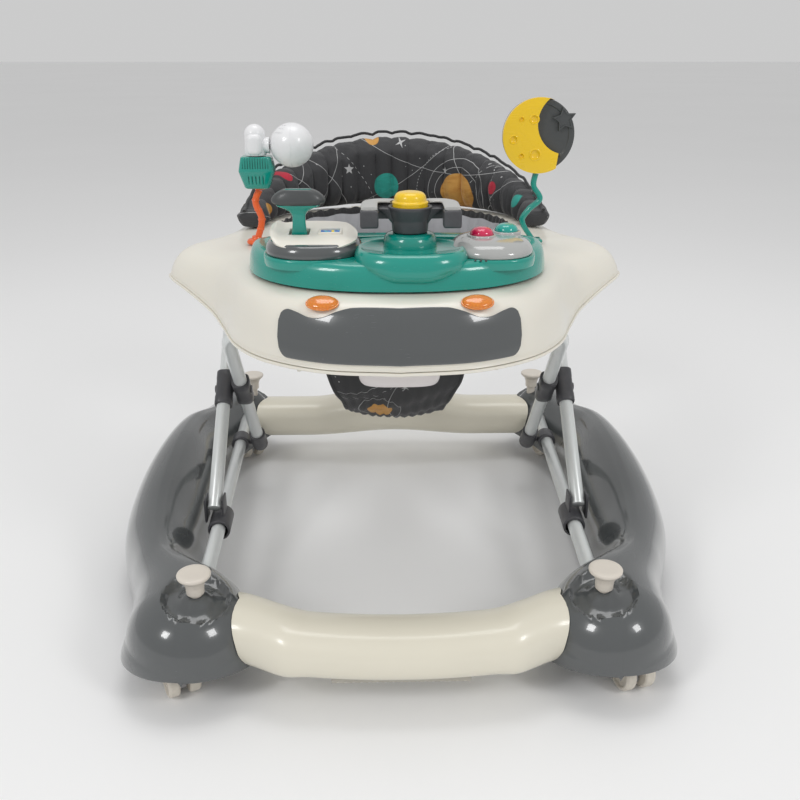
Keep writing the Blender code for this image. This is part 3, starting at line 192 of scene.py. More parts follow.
def skin(name, rows, wrap=False, loop=False, closed=True, flip=False, merge=0.00002):
    """A surface over rows of points: a grid is added and its corners are moved to the points."""
    rows = [[tuple(point) for point in row] for row in rows]
    if wrap:
        rows = [row + [row[0]] for row in rows]
    if loop:
        rows = rows + [rows[0]]
    deselect()
    bpy.ops.mesh.primitive_grid_add(x_subdivisions=len(rows[0]) - 1, y_subdivisions=len(rows) - 1, size=1)
    piece = bpy.context.object
    piece.name = piece.data.name = name
    piece.data.vertices.foreach_set("co", [value for row in rows for point in row for value in point])
    piece.data.update()
    tidy_mesh(piece, merge, outward=closed)
    if flip:
        turn_over(piece)
    return piece


def turn_over(piece):
    pick(piece)
    bpy.ops.object.mode_set(mode="EDIT")
    bpy.ops.mesh.select_all(action="SELECT")
    bpy.ops.mesh.flip_normals()
    bpy.ops.object.mode_set(mode="OBJECT")


def loft(name, rings, merge=0.00002):
    """A closed solid through rings of points, with its ends closed by a face."""
    def middle(ring):
        points = [Vector(point) for point in ring]
        return [sum(points, Vector()) / len(points)] * len(points)
    return skin(name, [middle(rings[0])] + list(rings) + [middle(rings[-1])], wrap=True, merge=merge)


def slab(name, outline, depth):
    """A flat outline of any shape, filled and extruded by a vector."""
    deselect()
    bpy.ops.mesh.primitive_circle_add(vertices=len(outline), radius=1, fill_type="NGON")
    piece = bpy.context.object
    piece.name = piece.data.name = name
    piece.data.vertices.foreach_set("co", [value for point in outline for value in point])
    piece.data.update()
    bpy.ops.object.mode_set(mode="EDIT")
    bpy.ops.mesh.select_all(action="SELECT")
    bpy.ops.mesh.extrude_region_move(TRANSFORM_OT_translate={"value": tuple(depth)})
    bpy.ops.mesh.select_all(action="SELECT")
    bpy.ops.mesh.normals_make_consistent(inside=False)
    bpy.ops.object.mode_set(mode="OBJECT")
    return piece


def apply(piece, kind, **settings):
    """Adds a modifier, sets it and applies it."""
    pick(piece)
    step = piece.modifiers.new("step", kind)
    for key, value in settings.items():
        setattr(step, key, value)
    bpy.ops.object.modifier_apply(modifier=step.name)
    return piece


def wall(piece, thickness, offset=-1.0):
    return apply(piece, "SOLIDIFY", thickness=thickness, offset=offset)


def soften(piece, width, segments=3, angle=35):
    return apply(
        piece, "BEVEL", width=width, segments=segments, limit_method="ANGLE", angle_limit=math.radians(angle),
        use_clamp_overlap=True
    )


def cut(piece, cutter, operation="DIFFERENCE"):
    apply(piece, "BOOLEAN", operation=operation, object=cutter, solver="EXACT")
    bpy.data.objects.remove(cutter, do_unlink=True)
    return piece


def join(*pieces):
    pick(*pieces)
    bpy.ops.object.join()
    return pieces[0]


def turned(name, profile, place=(0, 0, 0), axis=(0, 0, 1), sides=48):
    """A solid turned from a profile of (radius, height): a disc is extruded and resized ring by ring."""
    deselect()
    radius, height = profile[0]
    bpy.ops.mesh.primitive_circle_add(vertices=sides, radius=radius, fill_type="NGON", location=(0, 0, 0))
    piece = bpy.context.object
    piece.name = piece.data.name = name
    bpy.ops.object.mode_set(mode="EDIT")
    bpy.ops.mesh.select_all(action="SELECT")
    bpy.ops.transform.translate(value=(0, 0, height))
    for new_radius, new_height in profile[1:]:
        bpy.ops.mesh.extrude_region_move(TRANSFORM_OT_translate={"value": (0, 0, new_height - height)})
        if abs(new_radius - radius) > 1e-9:
            factor = new_radius / radius
            bpy.ops.transform.resize(value=(factor, factor, 1), center_override=(0, 0, new_height))
        radius, height = new_radius, new_height
    bpy.ops.mesh.select_all(action="SELECT")
    bpy.ops.mesh.normals_make_consistent(inside=False)
    bpy.ops.object.mode_set(mode="OBJECT")
    turn = Vector(axis).to_track_quat("Z", "Y").to_matrix().to_4x4()
    piece.matrix_world = Matrix.Translation(place) @ turn
    return settle(piece)


def rounded_profile(points, radius, steps=4):
    """The same profile with each inner corner rounded."""
    made = [points[0]]
    for before, corner, after in zip(points, points[1:], points[2:]):
        a, b, c = Vector(before), Vector(corner), Vector(after)
        reach = min(radius, (a - b).length * 0.45, (c - b).length * 0.45)
        start, end = b + (a - b).normalized() * reach, b + (c - b).normalized() * reach
        for k in range(steps + 1):
            t = k / steps
            made.append(tuple(start * (1 - t) ** 2 + b * 2 * t * (1 - t) + end * t * t))
    made.append(points[-1])
    return made


def block(name, low, high, bevel=0.0, segments=3):
    """A rounded block: a cube at its size and place with its edges bevelled."""
    deselect()
    size = Vector(high) - Vector(low)
    bpy.ops.mesh.primitive_cube_add(size=1, location=(Vector(high) + Vector(low)) / 2, scale=size)
    piece = bpy.context.object
    piece.name = piece.data.name = name
    settle(piece)
    if bevel:
        bpy.ops.object.mode_set(mode="EDIT")
        bpy.ops.mesh.select_all(action="SELECT")
        bpy.ops.mesh.bevel(offset=bevel, segments=segments)
        bpy.ops.object.mode_set(mode="OBJECT")
    return piece


def sweep(name, path, section, up=(0, 1, 0), closed_ends=True):
    """A bar along a path; section(share) gives the flat shape's points, as (side, up) pairs."""
    path = [Vector(point) for point in path]
    rings = []
    side = None
    for i, point in enumerate(path):
        way = (path[min(i + 1, len(path) - 1)] - path[max(i - 1, 0)]).normalized()
        if side is None:
            side = way.cross(Vector(up)).normalized()
        side = (side - way * side.dot(way)).normalized()
        over = side.cross(way)
        rings.append([point + side * a + over * b for a, b in section(i / (len(path) - 1))])
    if closed_ends:
        return loft(name, rings)
    return skin(name, rings, wrap=True, closed=True)


def round_section(radius, sides=28):
    ring = [(radius * math.cos(2 * math.pi * k / sides), radius * math.sin(2 * math.pi * k / sides)) for k in range(sides)]
    return lambda share: ring


def rod(name, start, end, radius, sides=28, bevel=0.0):
    """A round bar between two points with its end edges rounded."""
    start, end = Vector(start), Vector(end)
    length = (end - start).length
    profile = [(radius, 0.0), (radius, length)]
    if bevel:
        profile = [(radius - bevel, 0.0), (radius - bevel * 0.3, bevel * 0.3), (radius, bevel)]
        profile += [(radius, length - bevel), (radius - bevel * 0.3, length - bevel * 0.3), (radius - bevel, length)]
    return turned(name, profile, start, end - start, sides)


def install(piece, body, finish, slot, *nodes, smooth=38):
    """Finishes a piece: its coat, the body that carries it and the model nodes it stands for."""
    pick(piece)
    bpy.ops.object.shade_smooth_by_angle(angle=math.radians(smooth))
    piece.data.materials.clear()
    piece.data.materials.append(finish)
    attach(piece, body)
    if nodes:
        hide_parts(*nodes)
    return piece


# ---- finishes ---------------------------------------------------------------------------------
class Wire:
    """One socket of a finish, worked with in plain arithmetic."""

    def __init__(self, finish, socket):
        self.finish = finish
        self.socket = socket

    def work(self, operation, *values):
        return self.finish.node("Math", {"operation": operation}, dict(enumerate(values)))

    def __add__(self, other):
        return self.work("ADD", self, other)

    __radd__ = __add__

    def __sub__(self, other):
        return self.work("SUBTRACT", self, other)

    def __rsub__(self, other):
        return self.work("SUBTRACT", other, self)

    def __mul__(self, other):
        return self.work("MULTIPLY", self, other)

    __rmul__ = __mul__

    def __truediv__(self, other):
        return self.work("DIVIDE", self, other)

    def __rtruediv__(self, other):
        return self.work("DIVIDE", other, self)

    def __pow__(self, other):
        return self.work("POWER", self, other)

    def __gt__(self, other):
        return self.work("GREATER_THAN", self, other)

    def __lt__(self, other):
        return self.work("LESS_THAN", self, other)

    def size(self):
        return self.work("ABSOLUTE", self)

    def sin(self):
        return self.work("SINE", self)

    def cos(self):
        return self.work("COSINE", self)

    def clamped(self):
        return self.finish.node("Clamp", {}, {0: self, 1: 0.0, 2: 1.0})

    def ramp(self, low, high):
        """0 below low, 1 above high and a smooth rise between."""
        return self.finish.node("MapRange", {"interpolation_type": "SMOOTHSTEP"}, {0: self, 1: low, 2: high, 3: 0.0, 4: 1.0})


class Finish:
    """A coat with its own nodes; what doesn't change over the surface is set on the shader itself."""

    def __init__(self, name, colour, roughness, **fixed):
        self.coat = bpy.data.materials.new(name)
        self.coat.use_nodes = True
        self.tree = self.coat.node_tree
        self.shader = self.tree.nodes["Principled BSDF"]
        self.colour = tuple(colour)[:3]
        self.roughness = roughness
        self.put("Base Color", (*self.colour, 1.0))
        self.put("Roughness", roughness)
        for key, value in fixed.items():
            self.put(key.replace("_", " "), value)

    def put(self, name, value):
        socket = self.shader.inputs[name]
        if isinstance(value, Wire):
            self.tree.links.new(value.socket, socket)
        else:
            socket.default_value = value

    def node(self, kind, settings=None, values=None, out=0):
        made = self.tree.nodes.new("ShaderNode" + kind)
        for key, value in (settings or {}).items():
            setattr(made, key, value)
        for key, value in (values or {}).items():
            if isinstance(value, Wire):
                self.tree.links.new(value.socket, made.inputs[key])
            else:
                made.inputs[key].default_value = value
        return Wire(self, made.outputs[out])

    def place(self):
        return self.node("TexCoord", out="Object")

    def axes(self, vector=None):
        made = self.node("SeparateXYZ", {}, {0: vector or self.place()})
        outputs = made.socket.node.outputs
        return [Wire(self, outputs[k]) for k in range(3)]

    def stretched(self, scale, vector=None):
        return self.node("Mapping", {}, {"Vector": vector or self.place(), "Scale": scale})

    def noise(self, scale, detail=2.0, where=None):
        return self.node("TexNoise", {}, {"Vector": where or self.place(), "Scale": scale, "Detail": detail})

    def blend(self, first, second, share):
        """One colour over another by share, as a colour."""
        pair = [c if isinstance(c, Wire) else (*tuple(c)[:3], 1.0) for c in (first, second)]
        return self.node("Mix", {"data_type": "RGBA"}, {0: share, 6: pair[0], 7: pair[1]}, out=2)

    def relief(self, height, depth, strength=1.0):
        self.put("Normal", self.node("Bump", {}, {"Height": height, "Distance": depth, "Strength": strength}))

    def tint(self, amount, scale=14.0):
        """The colour with a faint cloudy change in its depth, as moulded batches have."""
        dark = [c * (1 - amount) for c in self.colour]
        light = [min(1.0, c * (1 + amount)) for c in self.colour]
        return self.blend(dark, light, self.noise(scale, 3.0))


def moulded(name, colour, roughness, grain=0.25, swirl=0.05, **fixed):
    """Injection-moulded plastic: cloudy colour, hairline scuffs and a fine skin."""
    made = Finish(name, colour, roughness, **fixed)
    scuffs = made.noise(1.0, 2.0, made.stretched((45.0, 1100.0, 700.0))).ramp(0.60, 0.72)
    smudge = made.noise(32.0, 4.0).ramp(0.42, 0.72)
    made.put("Base Color", made.tint(swirl))
    made.put("Roughness", (roughness + smudge * (0.10 * roughness + 0.015) + scuffs * 0.05).clamped())
    made.relief(made.noise(900.0, 2.0) * 0.7 + made.noise(120.0, 1.0) * 0.3, 0.00012 * grain, 0.6)
    return made


def grained(name, colour, roughness, scale=1500.0, depth=0.00012, **fixed):
    """Textured plastic or rubber with a spark-eroded grain."""
    made = Finish(name, colour, roughness, **fixed)
    grain = made.node("TexVoronoi", {"feature": "SMOOTH_F1"}, {"Vector": made.place(), "Scale": scale})
    worn = made.noise(60.0, 3.0).ramp(0.50, 0.75)
    made.put("Base Color", made.blend(made.tint(0.10), [min(1.0, c * 1.5 + 0.01) for c in colour], worn * 0.35))
    made.put("Roughness", (roughness - worn * 0.08 + grain * 0.06).clamped())
    made.relief(grain, depth, 0.7)
    return made


def painted_tube(name, colour):
    """Powder-painted steel tube with orange peel and faint rub marks across it."""
    made = Finish(name, colour, 0.30, Metallic=0.25, Coat_Weight=0.35, Coat_Roughness=0.12)
    rubs = made.noise(1.0, 3.0, made.stretched((500.0, 40.0, 500.0))).ramp(0.60, 0.78)
    made.put("Base Color", made.blend(made.tint(0.035, 40.0), [c * 0.82 for c in colour], rubs * 0.35))
    made.put("Roughness", (0.27 + made.noise(90.0, 3.0) * 0.10 + rubs * 0.12).clamped())
    made.relief(made.noise(420.0, 1.0), 0.00010, 0.5)
    return made


def weave_height(made, u, v, pitch=0.0011):
    """The height of a plain weave on the cloth's own measures."""
    turn = 2 * math.pi / pitch
    across, along = (u * turn).sin(), (v * turn).sin()
    return across * along * 0.5 + ((u + v) * (turn / 2)).sin() * 0.5


def cloth_measures(made):
    """How far along and up the cloth a point is, in metres, from the piece's own map."""
    spot = made.node("UVMap", {"uv_map": "cloth"})
    return made.axes(spot)[:2]


def plain_cloth(name, colour, roughness=0.85, pitch=0.0011, sheen=0.25):
    made = Finish(name, colour, roughness, Sheen_Weight=sheen, Sheen_Roughness=0.5)
    u, v = cloth_measures(made)
    threads = weave_height(made, u, v, pitch)
    slub = made.noise(1.0, 3.0, made.stretched((60.0, 900.0, 260.0)))
    made.put("Base Color", made.blend(
        made.tint(0.08, 25.0), [c * 0.72 for c in colour], (threads * 0.25 + slub * 0.55).clamped()))
    made.put("Roughness", (roughness + threads * 0.05).clamped())
    made.relief(threads * 0.6 + slub * 0.4, 0.00022, 0.8)
    return made


def night_print(name, discs, rings, stars, field=True):
    """Charcoal cloth printed with plain planets, orbit lines and stars on the cloth's own measures."""
    base = (0.044, 0.044, 0.047)
    made = Finish(name, base, 0.82, Sheen_Weight=0.22, Sheen_Roughness=0.45)
    u, v = cloth_measures(made)
    threads = weave_height(made, u, v)
    slub = made.noise(1.0, 3.0, made.stretched((60.0, 900.0, 260.0)))
    colour = made.blend(made.tint(0.12, 25.0), [c * 0.62 for c in base], (threads * 0.3 + slub * 0.4).clamped())

    def away(cu, cv):
        du, dv = u - cu, v - cv
        return (du * du + dv * dv) ** 0.5, made.node("Math", {"operation": "ARCTAN2"}, {0: dv, 1: du})

    def line(distance, radius, half):
        return 1 - (distance - radius).size().ramp(half * 0.6, half * 1.3)

    ink = None
    for cu, cv, radius, dashes in rings:
        distance, angle = away(cu, cv)
        mark = line(distance, radius, 0.00030)
        if dashes:
            mark = mark * ((angle * dashes).sin() > 0.1)
        ink = mark if ink is None else made.node("Math", {"operation": "MAXIMUM"}, {0: ink, 1: mark})
    for cu, cv, radius, points, waist in stars:
        distance, angle = away(cu, cv)
        fold = math.pi / points
        local = ((angle + (0.35 + 2 * math.pi)) / (2 * fold))
        local = (made.node("Math", {"operation": "FRACT"}, {0: local}) - 0.5).size() * (2 * fold)
        slope = (1 / waist - math.cos(fold)) / math.sin(fold)
        reach = distance * (local.cos() + local.sin() * slope)
        mark = 1 - reach.ramp(radius * 0.94, radius * 1.04)
        ink = made.node("Math", {"operation": "MAXIMUM"}, {0: ink, 1: mark})
    if field:
        flat = made.node("CombineXYZ", {}, {0: u, 1: v, 2: 0.0})
        for scale, size, share in ((95.0, 0.085, 0.62), (48.0, 0.050, 0.45)):
            cells = made.node("TexVoronoi", {"feature": "F1"}, {"Vector": flat, "Scale": scale})
            cell_colour = Wire(made, cells.socket.node.outputs["Color"])
            chance = made.axes(cell_colour)[0]
            mark = (1 - cells.ramp(size * 0.7, size)) * (chance > share)
            ink = made.node("Math", {"operation": "MAXIMUM"}, {0: ink, 1: mark})
    colour = made.blend(colour, (0.66, 0.66, 0.66), ink * 0.72)
    for cu, cv, radius, shade, shadow in discs:
        distance, _ = away(cu, cv)
        patch = 1 - distance.ramp(radius - 0.0004, radius + 0.0004)
        cloud = made.noise(1.0, 2.0, made.stretched((60.0, 60.0, 190.0))).ramp(0.40, 0.66)
        inside = made.blend(shade, shadow, cloud * 0.55)
        colour = made.blend(colour, inside, patch * (0.95 - threads * 0.10))
    made.put("Base Color", colour)
    made.put("Roughness", (0.80 + threads * 0.06).clamped())
    made.relief(threads * 0.6 + slub * 0.4, 0.00025, 0.8)
    return made


FINISHES = {}


def finish_named(name):
    return FINISHES[name].coat


def mix_finishes(settings):
    """All the walker's finishes, from the colours in the panel."""
    dark, cream, teal = settings.dark_colour, settings.cream_colour, settings.teal_colour
    FINISHES.clear()
    FINISHES["dark gloss"] = moulded(
        "dark_gloss_plastic", dark, 0.20, grain=0.15, swirl=0.07, Coat_Weight=0.85, Coat_Roughness=0.035)
    FINISHES["dark satin"] = moulded("dark_satin_plastic", [c * 0.75 for c in dark], 0.38, grain=0.6, Coat_Weight=0.1)
    FINISHES["cream"] = moulded(
        "cream_plastic", cream, 0.33, grain=0.35, swirl=0.018, Coat_Weight=0.30, Coat_Roughness=0.14,
        Subsurface_Weight=0.05, Subsurface_Radius=(0.004, 0.003, 0.002), Subsurface_Scale=0.5)
    FINISHES["rail cream"] = moulded(
        "rail_cream_plastic", [cream[0] * 0.97, cream[1] * 0.955, cream[2] * 0.90], 0.28, grain=0.35, swirl=0.02,
        Coat_Weight=0.45, Coat_Roughness=0.10)
    FINISHES["teal"] = moulded("teal_plastic", teal, 0.22, grain=0.2, swirl=0.04, Coat_Weight=0.65, Coat_Roughness=0.05)
    FINISHES["pale grey"] = moulded("pale_grey_plastic", (0.46, 0.46, 0.445), 0.36, grain=0.6, Coat_Weight=0.15)
    FINISHES["knob"] = moulded("knob_plastic", (0.70, 0.645, 0.57), 0.36, grain=0.7, swirl=0.03, Coat_Weight=0.12)
    FINISHES["wheel"] = grained("wheel_plastic", (0.66, 0.61, 0.53), 0.48, 700.0, 0.0001)
    FINISHES["fork"] = grained("fork_plastic", (0.33, 0.33, 0.34), 0.45, 1100.0)
    FINISHES["fitting"] = grained("dark_fitting_plastic", (0.058, 0.058, 0.064), 0.40, 1400.0, 0.00007, Coat_Weight=0.1)
    FINISHES["rubber"] = grained("brake_rubber", (0.50, 0.475, 0.42), 0.80, 900.0, 0.0002)
    FINISHES["tube"] = painted_tube("painted_tube", (0.72, 0.745, 0.74))
    FINISHES["white"] = moulded("white_plastic", (0.82, 0.82, 0.83), 0.30, grain=0.3, swirl=0.012, Coat_Weight=0.3)
    FINISHES["handle"] = moulded("handle_plastic", (0.78, 0.74, 0.74), 0.36, grain=0.5, swirl=0.015, Coat_Weight=0.1)
    FINISHES["orange"] = moulded("orange_plastic", (0.86, 0.13, 0.022), 0.33, grain=0.4, swirl=0.05, Coat_Weight=0.2)
    FINISHES["yellow"] = moulded("yellow_plastic", (0.90, 0.58, 0.008), 0.26, grain=0.3, swirl=0.03, Coat_Weight=0.4)
    FINISHES["red"] = moulded(
        "red_plastic", (0.66, 0.012, 0.085), 0.14, grain=0.2, swirl=0.06, Coat_Weight=0.8, Coat_Roughness=0.04)
    FINISHES["button teal"] = moulded(
        "button_teal_plastic", (0.0, 0.36, 0.30), 0.14, grain=0.2, swirl=0.06, Coat_Weight=0.8, Coat_Roughness=0.04)
    FINISHES["console"] = moulded(
        "pale_console_plastic", (0.40, 0.405, 0.395), 0.14, grain=0.2, swirl=0.05, Coat_Weight=0.7, Coat_Roughness=0.05)
    FINISHES["case"] = grained("module_case", (0.02, 0.02, 0.021), 0.5)
    FINISHES["steel"] = moulded("screw_steel", (0.55, 0.55, 0.56), 0.35, grain=1.0, Metallic=1.0)
    FINISHES["lamp"] = lamp_finish()
    FINISHES["pictures"] = picture_finish()
    FINISHES["lining"] = plain_cloth("lining_cloth", (0.52, 0.52, 0.545), pitch=0.0014)
    FINISHES["binding"] = plain_cloth("binding_tape", (0.030, 0.030, 0.032), 0.80, pitch=0.0009)
    gold, deep_gold = (0.66, 0.34, 0.075), (0.50, 0.20, 0.03)
    crimson, deep_crimson = (0.50, 0.018, 0.045), (0.36, 0.01, 0.03)
    sea, deep_sea = (0.02, 0.34, 0.28), (0.01, 0.25, 0.20)
    FINISHES["night cloth"] = night_print(
        "night_print_cloth",
        discs=[
            (-0.009 , 0.4365, 0.0177, sea, deep_sea), (-0.026, 0.4996, 0.0090, gold, deep_gold),
            (0.0985, 0.430, 0.0265, gold, deep_gold), (0.160, 0.4425, 0.0082, crimson, deep_crimson),
            (-0.163, 0.458, 0.0055, crimson, deep_crimson), (0.214, 0.432, 0.0080, sea, deep_sea),
            (-0.225, 0.424, 0.0085, gold, deep_gold),
        ],
        rings=[
            (0.0985, 0.430, 0.0345, 0), (0.0985, 0.430, 0.0455, 0), (0.0985, 0.430, 0.0620, 90),
            (-0.26, 0.300, 0.190, 0), (-0.26, 0.300, 0.225, 0), (-0.26, 0.300, 0.262, 200), (-0.30, 0.560, 0.190, 0),
            (-0.30, 0.560, 0.235, 0), (0.10, 0.700, 0.245, 0), (-0.16, 0.330, 0.290, 0), (0.30, 0.300, 0.190, 0),
            (0.30, 0.300, 0.230, 160), (-0.14, 0.700, 0.300, 0),
        ],
        stars=[
            (0.011, 0.494, 0.0078, 4, 0.24), (-0.065, 0.461, 0.0074, 5, 0.45), (0.078, 0.459, 0.0050, 5, 0.45),
            (-0.196, 0.438, 0.0050, 5, 0.45), (0.205, 0.460, 0.0042, 4, 0.30),
        ],
    )
    FINISHES["pouch cloth"] = night_print(
        "pouch_print_cloth",
        discs=[(0.030, 0.080, 0.0130, sea, deep_sea), (-0.020, 0.210, 0.016, gold, deep_gold),
               (0.024, 0.290, 0.010, crimson, deep_crimson)],
        rings=[(0.030, 0.080, 0.021, 0), (-0.075, 0.100, 0.075, 0), (-0.075, 0.100, 0.090, 40),
               (0.070, 0.200, 0.080, 0), (-0.020, 0.210, 0.027, 0), (0.0, 0.340, 0.090, 0)],
        stars=[(-0.018, 0.060, 0.0055, 5, 0.45), (0.012, 0.160, 0.006, 4, 0.28), (-0.036, 0.140, 0.005, 5, 0.45)],
    )


def lamp_finish():
    """Clear orange lens over a ribbed reflector."""
    made = Finish("lamp_orange", (0.82, 0.235, 0.015), 0.12, Coat_Weight=0.8, Coat_Roughness=0.03,
                  Transmission_Weight=0.12, Subsurface_Weight=0.3, Subsurface_Radius=(0.01, 0.004, 0.001),
                  Subsurface_Scale=0.3)
    x, y, _ = made.axes()
    ribs = ((x * 1900.0).sin() * (y * 1900.0).sin()) * 0.5 + 0.5
    made.put("Base Color", made.blend((0.90, 0.30, 0.02), (0.62, 0.135, 0.006), ribs * 0.35 + made.noise(60.0) * 0.25))
    made.put("Roughness", 0.10 + ribs * 0.06)
    made.relief(ribs, 0.0001, 0.3)
    return made


def picture_finish():
    """The printed drum: plain bands and shapes in bright colours."""
    made = Finish("picture_print", (0.1, 0.3, 0.6), 0.25, Coat_Weight=0.5, Coat_Roughness=0.08)
    x, y, _ = made.axes()
    across = (x - DRUM_X) * 1000.0
    down = (y - LEFT_CONSOLE[1]) * 1000.0
    colour = made.blend((0.02, 0.16, 0.55), (0.02, 0.42, 0.62), (across * 0.9 + down * 0.5).sin() > 0.1)
    colour = made.blend(colour, (0.85, 0.62, 0.03), ((across - 2.5).size() < 1.3) * ((down + 1.0).size() < 3.0))
    colour = made.blend(colour, (0.70, 0.05, 0.04), ((across + 4.0).size() < 1.6) * ((down - 2.0).size() < 2.2))
    colour = made.blend(colour, (0.85, 0.85, 0.85), ((across * across + (down - 1.0) * (down - 1.0)) ** 0.5) < 1.6)
    colour = made.blend(colour, (0.02, 0.02, 0.02), (across * 1.57).sin() > 0.97)
    made.put("Base Color", colour)
    made.put("Roughness", 0.22 + made.noise(200.0) * 0.08)
    made.relief(made.noise(800.0), 0.00004, 0.4)
    return made


# ---- base -------------------------------------------------------------------------------------
def rim_height(y):
    return RIM_LOW + RIM_RISE * (y / HALF_LENGTH) ** 2


def near_domes(y):
    return max(
        smooth_step(1 - abs(y - FRONT_CORNER[1]) / 0.13), smooth_step(1 - abs(y - REAR_CORNER[1]) / 0.11)
    )


def dish_drop(x, y):
    """How far the shell is sunk round a lift knob, with a cone left standing under the knob."""
    drop = 0.0
    for end, (kx, ky) in KNOBS.items():
        away = math.hypot(abs(x) - kx, y - ky)
        depth = 0.0085 if end == "front" else 0.0060
        wide = 0.0345 if end == "front" else 0.0290
        sunk = depth * (1 - smooth_step((away - wide + 0.005) / 0.005))
        stand = 1 - smooth_step((away - 0.0085) / 0.0110)
        drop = max(drop, sunk * (1 - 0.84 * stand))
    return drop


def shell_row(y, inner, outer, crown, sign, grow=0.0, columns=10, solid=False, dressed=False):
    """One cross-section of a side shell, from its outer bottom edge over the crown to the inner one."""
    middle = (inner + outer) / 2
    half = (outer - inner) / 2 + grow
    low = rim_height(y)
    near_dome = near_domes(y)
    points = []
    for j in range(columns + 1):
        angle = math.pi * j / columns
        c, s = math.cos(angle), math.sin(angle)
        across = math.copysign(abs(c) ** 0.8, c)
        rise = abs(s) ** 0.8
        scoop = 1 - 0.30 * (1 - near_dome) * smooth_step(-across)
        height = low + (crown + grow - low) * rise * scoop
        flare = RIM_FLARE * near_dome * smooth_step(1 - (height - low) / 0.020) * min(1.0, half / 0.03)
        x = middle + across * (half + flare)
        if dressed:
            tall = max(0.002, crown - low)
            band = smooth_step((0.30 - (height - low) / tall) / 0.035) * min(1.0, half / 0.03)
            x += 0.0014 * band * near_dome * math.copysign(1.0, across)
            height -= dish_drop(x, y)
            height += 0.0022 * (1 - near_dome) * smooth_step((across - 0.02) / 0.07)
        points.append((sign * x, y, height))
    if solid:
        below = low - 0.03
        points.append((sign * (middle - half - RIM_FLARE), y, below))
        points.append((sign * (middle + half + RIM_FLARE), y, below))
    return points


def shell_rows(sign, grow=0.0, solid=False, columns=10, cap=5, steps=14, dressed=False):
    rows = []
    ends = ((FRONT_CORNER, SIDE_STATIONS[0][3], -1), (REAR_CORNER, SIDE_STATIONS[-1][3], 1))
    for (x, y, radius), crown, way in ends:
        radius += grow
        caps = []
        for k in range(cap):
            angle = math.radians(90 - 90 * k / cap) if k else math.radians(89.2)
            half = radius * math.cos(angle)
            height = rim_height(y) + (crown - rim_height(y)) * math.cos(angle) ** 0.62
            at = y + way * radius * math.sin(angle)
            caps.append(shell_row(at, x - half, x + half, height, sign, 0.0, columns, solid, dressed))
        if way < 0:
            rows += caps
            first, last = SIDE_STATIONS[0][0], SIDE_STATIONS[-1][0]
            for k in range(steps + 1):
                at = first + (last - first) * k / steps
                inner, outer, top = (through(SIDE_STATIONS, at, column) for column in (1, 2, 3))
                rows.append(shell_row(at, inner, outer, top, sign, grow, columns, solid, dressed))
        else:
            rows += caps[::-1]
    return rows


def base_tube_x(y):
    return 0.2215 + 0.035 * (y - 0.060)


def base_shell(side, sign):
    """The glossy runner: one moulded cover with a dome at each end."""
    rows = shell_rows(sign, columns=72, cap=20, steps=110, dressed=True)
    if sign > 0:
        rows = [row[::-1] for row in rows]
    shell = skin(f"{side}_base_shell", rows, closed=False)
    wall(shell, SHELL_WALL)
    for x, y in KNOBS.values():
        cut(shell, rod("hole", (sign * x, y, 0.070), (sign * x, y, 0.130), 0.0069, 40))
    ends = [Vector((sign * base_tube_x(y), y, BASE_TUBE_Z)) for y in (-0.240, 0.262)]
    cut(shell, rod("hole", ends[0], ends[1], chosen().tube_radius + 0.0006, 32))
    install(shell, "base", finish_named("dark gloss"), "dark_gloss_plastic", f"{side}_side_shell", smooth=50)


def rail_section(x, rear, sides=16):
    if rear:
        arch = smooth_step(abs(x) / 0.13)
        centre = (0.285, 0.079 - 0.016 * arch)
        centre = (centre[0] + 0.004 * arch, centre[1])
        half_depth = 0.037 - 0.004 * arch
        half_height = 0.030 + 0.0055 * (1 - arch)
    else:
        bow = (x / 0.15) ** 2
        centre = (-0.3065 + 0.018 * bow + 0.014 * smooth_step((abs(x) - 0.105) / 0.060), 0.066)
        shoulder = smooth_step((abs(x) - 0.088) / 0.034)
        half_depth = 0.037 - 0.0030 * (1 - shoulder)
        half_height = 0.030 + 0.001 * bow - 0.0028 * (1 - shoulder)
    points = []
    for k in range(sides):
        across, up = superellipse(half_depth, half_height, 2 * math.pi * k / sides, 2.3)
        points.append((x, centre[0] + across, centre[1] + up))
    return points


def base_rail(name, rear):
    """A blow-moulded cross rail, shaped at its ends to the corner domes."""
    reach, steps = 0.215, 86
    rows = [rail_section(-reach + 2 * reach * k / steps, rear, 72) for k in range(steps + 1)]
    if not rear:
        rows = [[(x, y + 0.0005 * math.sin(z * 90), z) for x, y, z in row] for row in rows]
    body = skin(name, rows, wrap=True, closed=False)
    wall(body, 0.003)
    for _, sign in SIDES:
        collar = loft("collar", shell_rows(sign, 0.0013, solid=True, columns=36, cap=12, steps=40))
        cut(body, collar)
    install(body, "base", finish_named("rail cream"), "cream_plastic", name.replace("base_", ""), smooth=40)


def brake_strip():
    """The ribbed rubber strip under the front rail."""
    strip = block("brake_strip", (-0.070, -0.316, 0.0294), (0.070, -0.300, 0.0354), 0.0012)
    for k in range(17):
        x = -0.064 + 0.008 * k
        cut(strip, block("groove", (x - 0.0012, -0.320, 0.0290), (x + 0.0012, -0.296, 0.0305)))
    install(strip, "base", finish_named("rubber"), "brake_rubber", "front_friction_strip")


def base_tube(side, sign):
    ends = [Vector((sign * base_tube_x(y), y, BASE_TUBE_Z)) for y in (-0.214, 0.244)]
    tube = rod(f"{side}_base_tube_steel", ends[0], ends[1], chosen().tube_radius, 40, bevel=0.0008)
    install(tube, "base", finish_named("tube"), "painted_tube", f"{side}_base_tube")


# ---- casters and knobs ------------------------------------------------------------------------
def corners():
    for side, sign in SIDES:
        for end in ("front", "rear"):
            yield f"{end}_{side}", end, sign


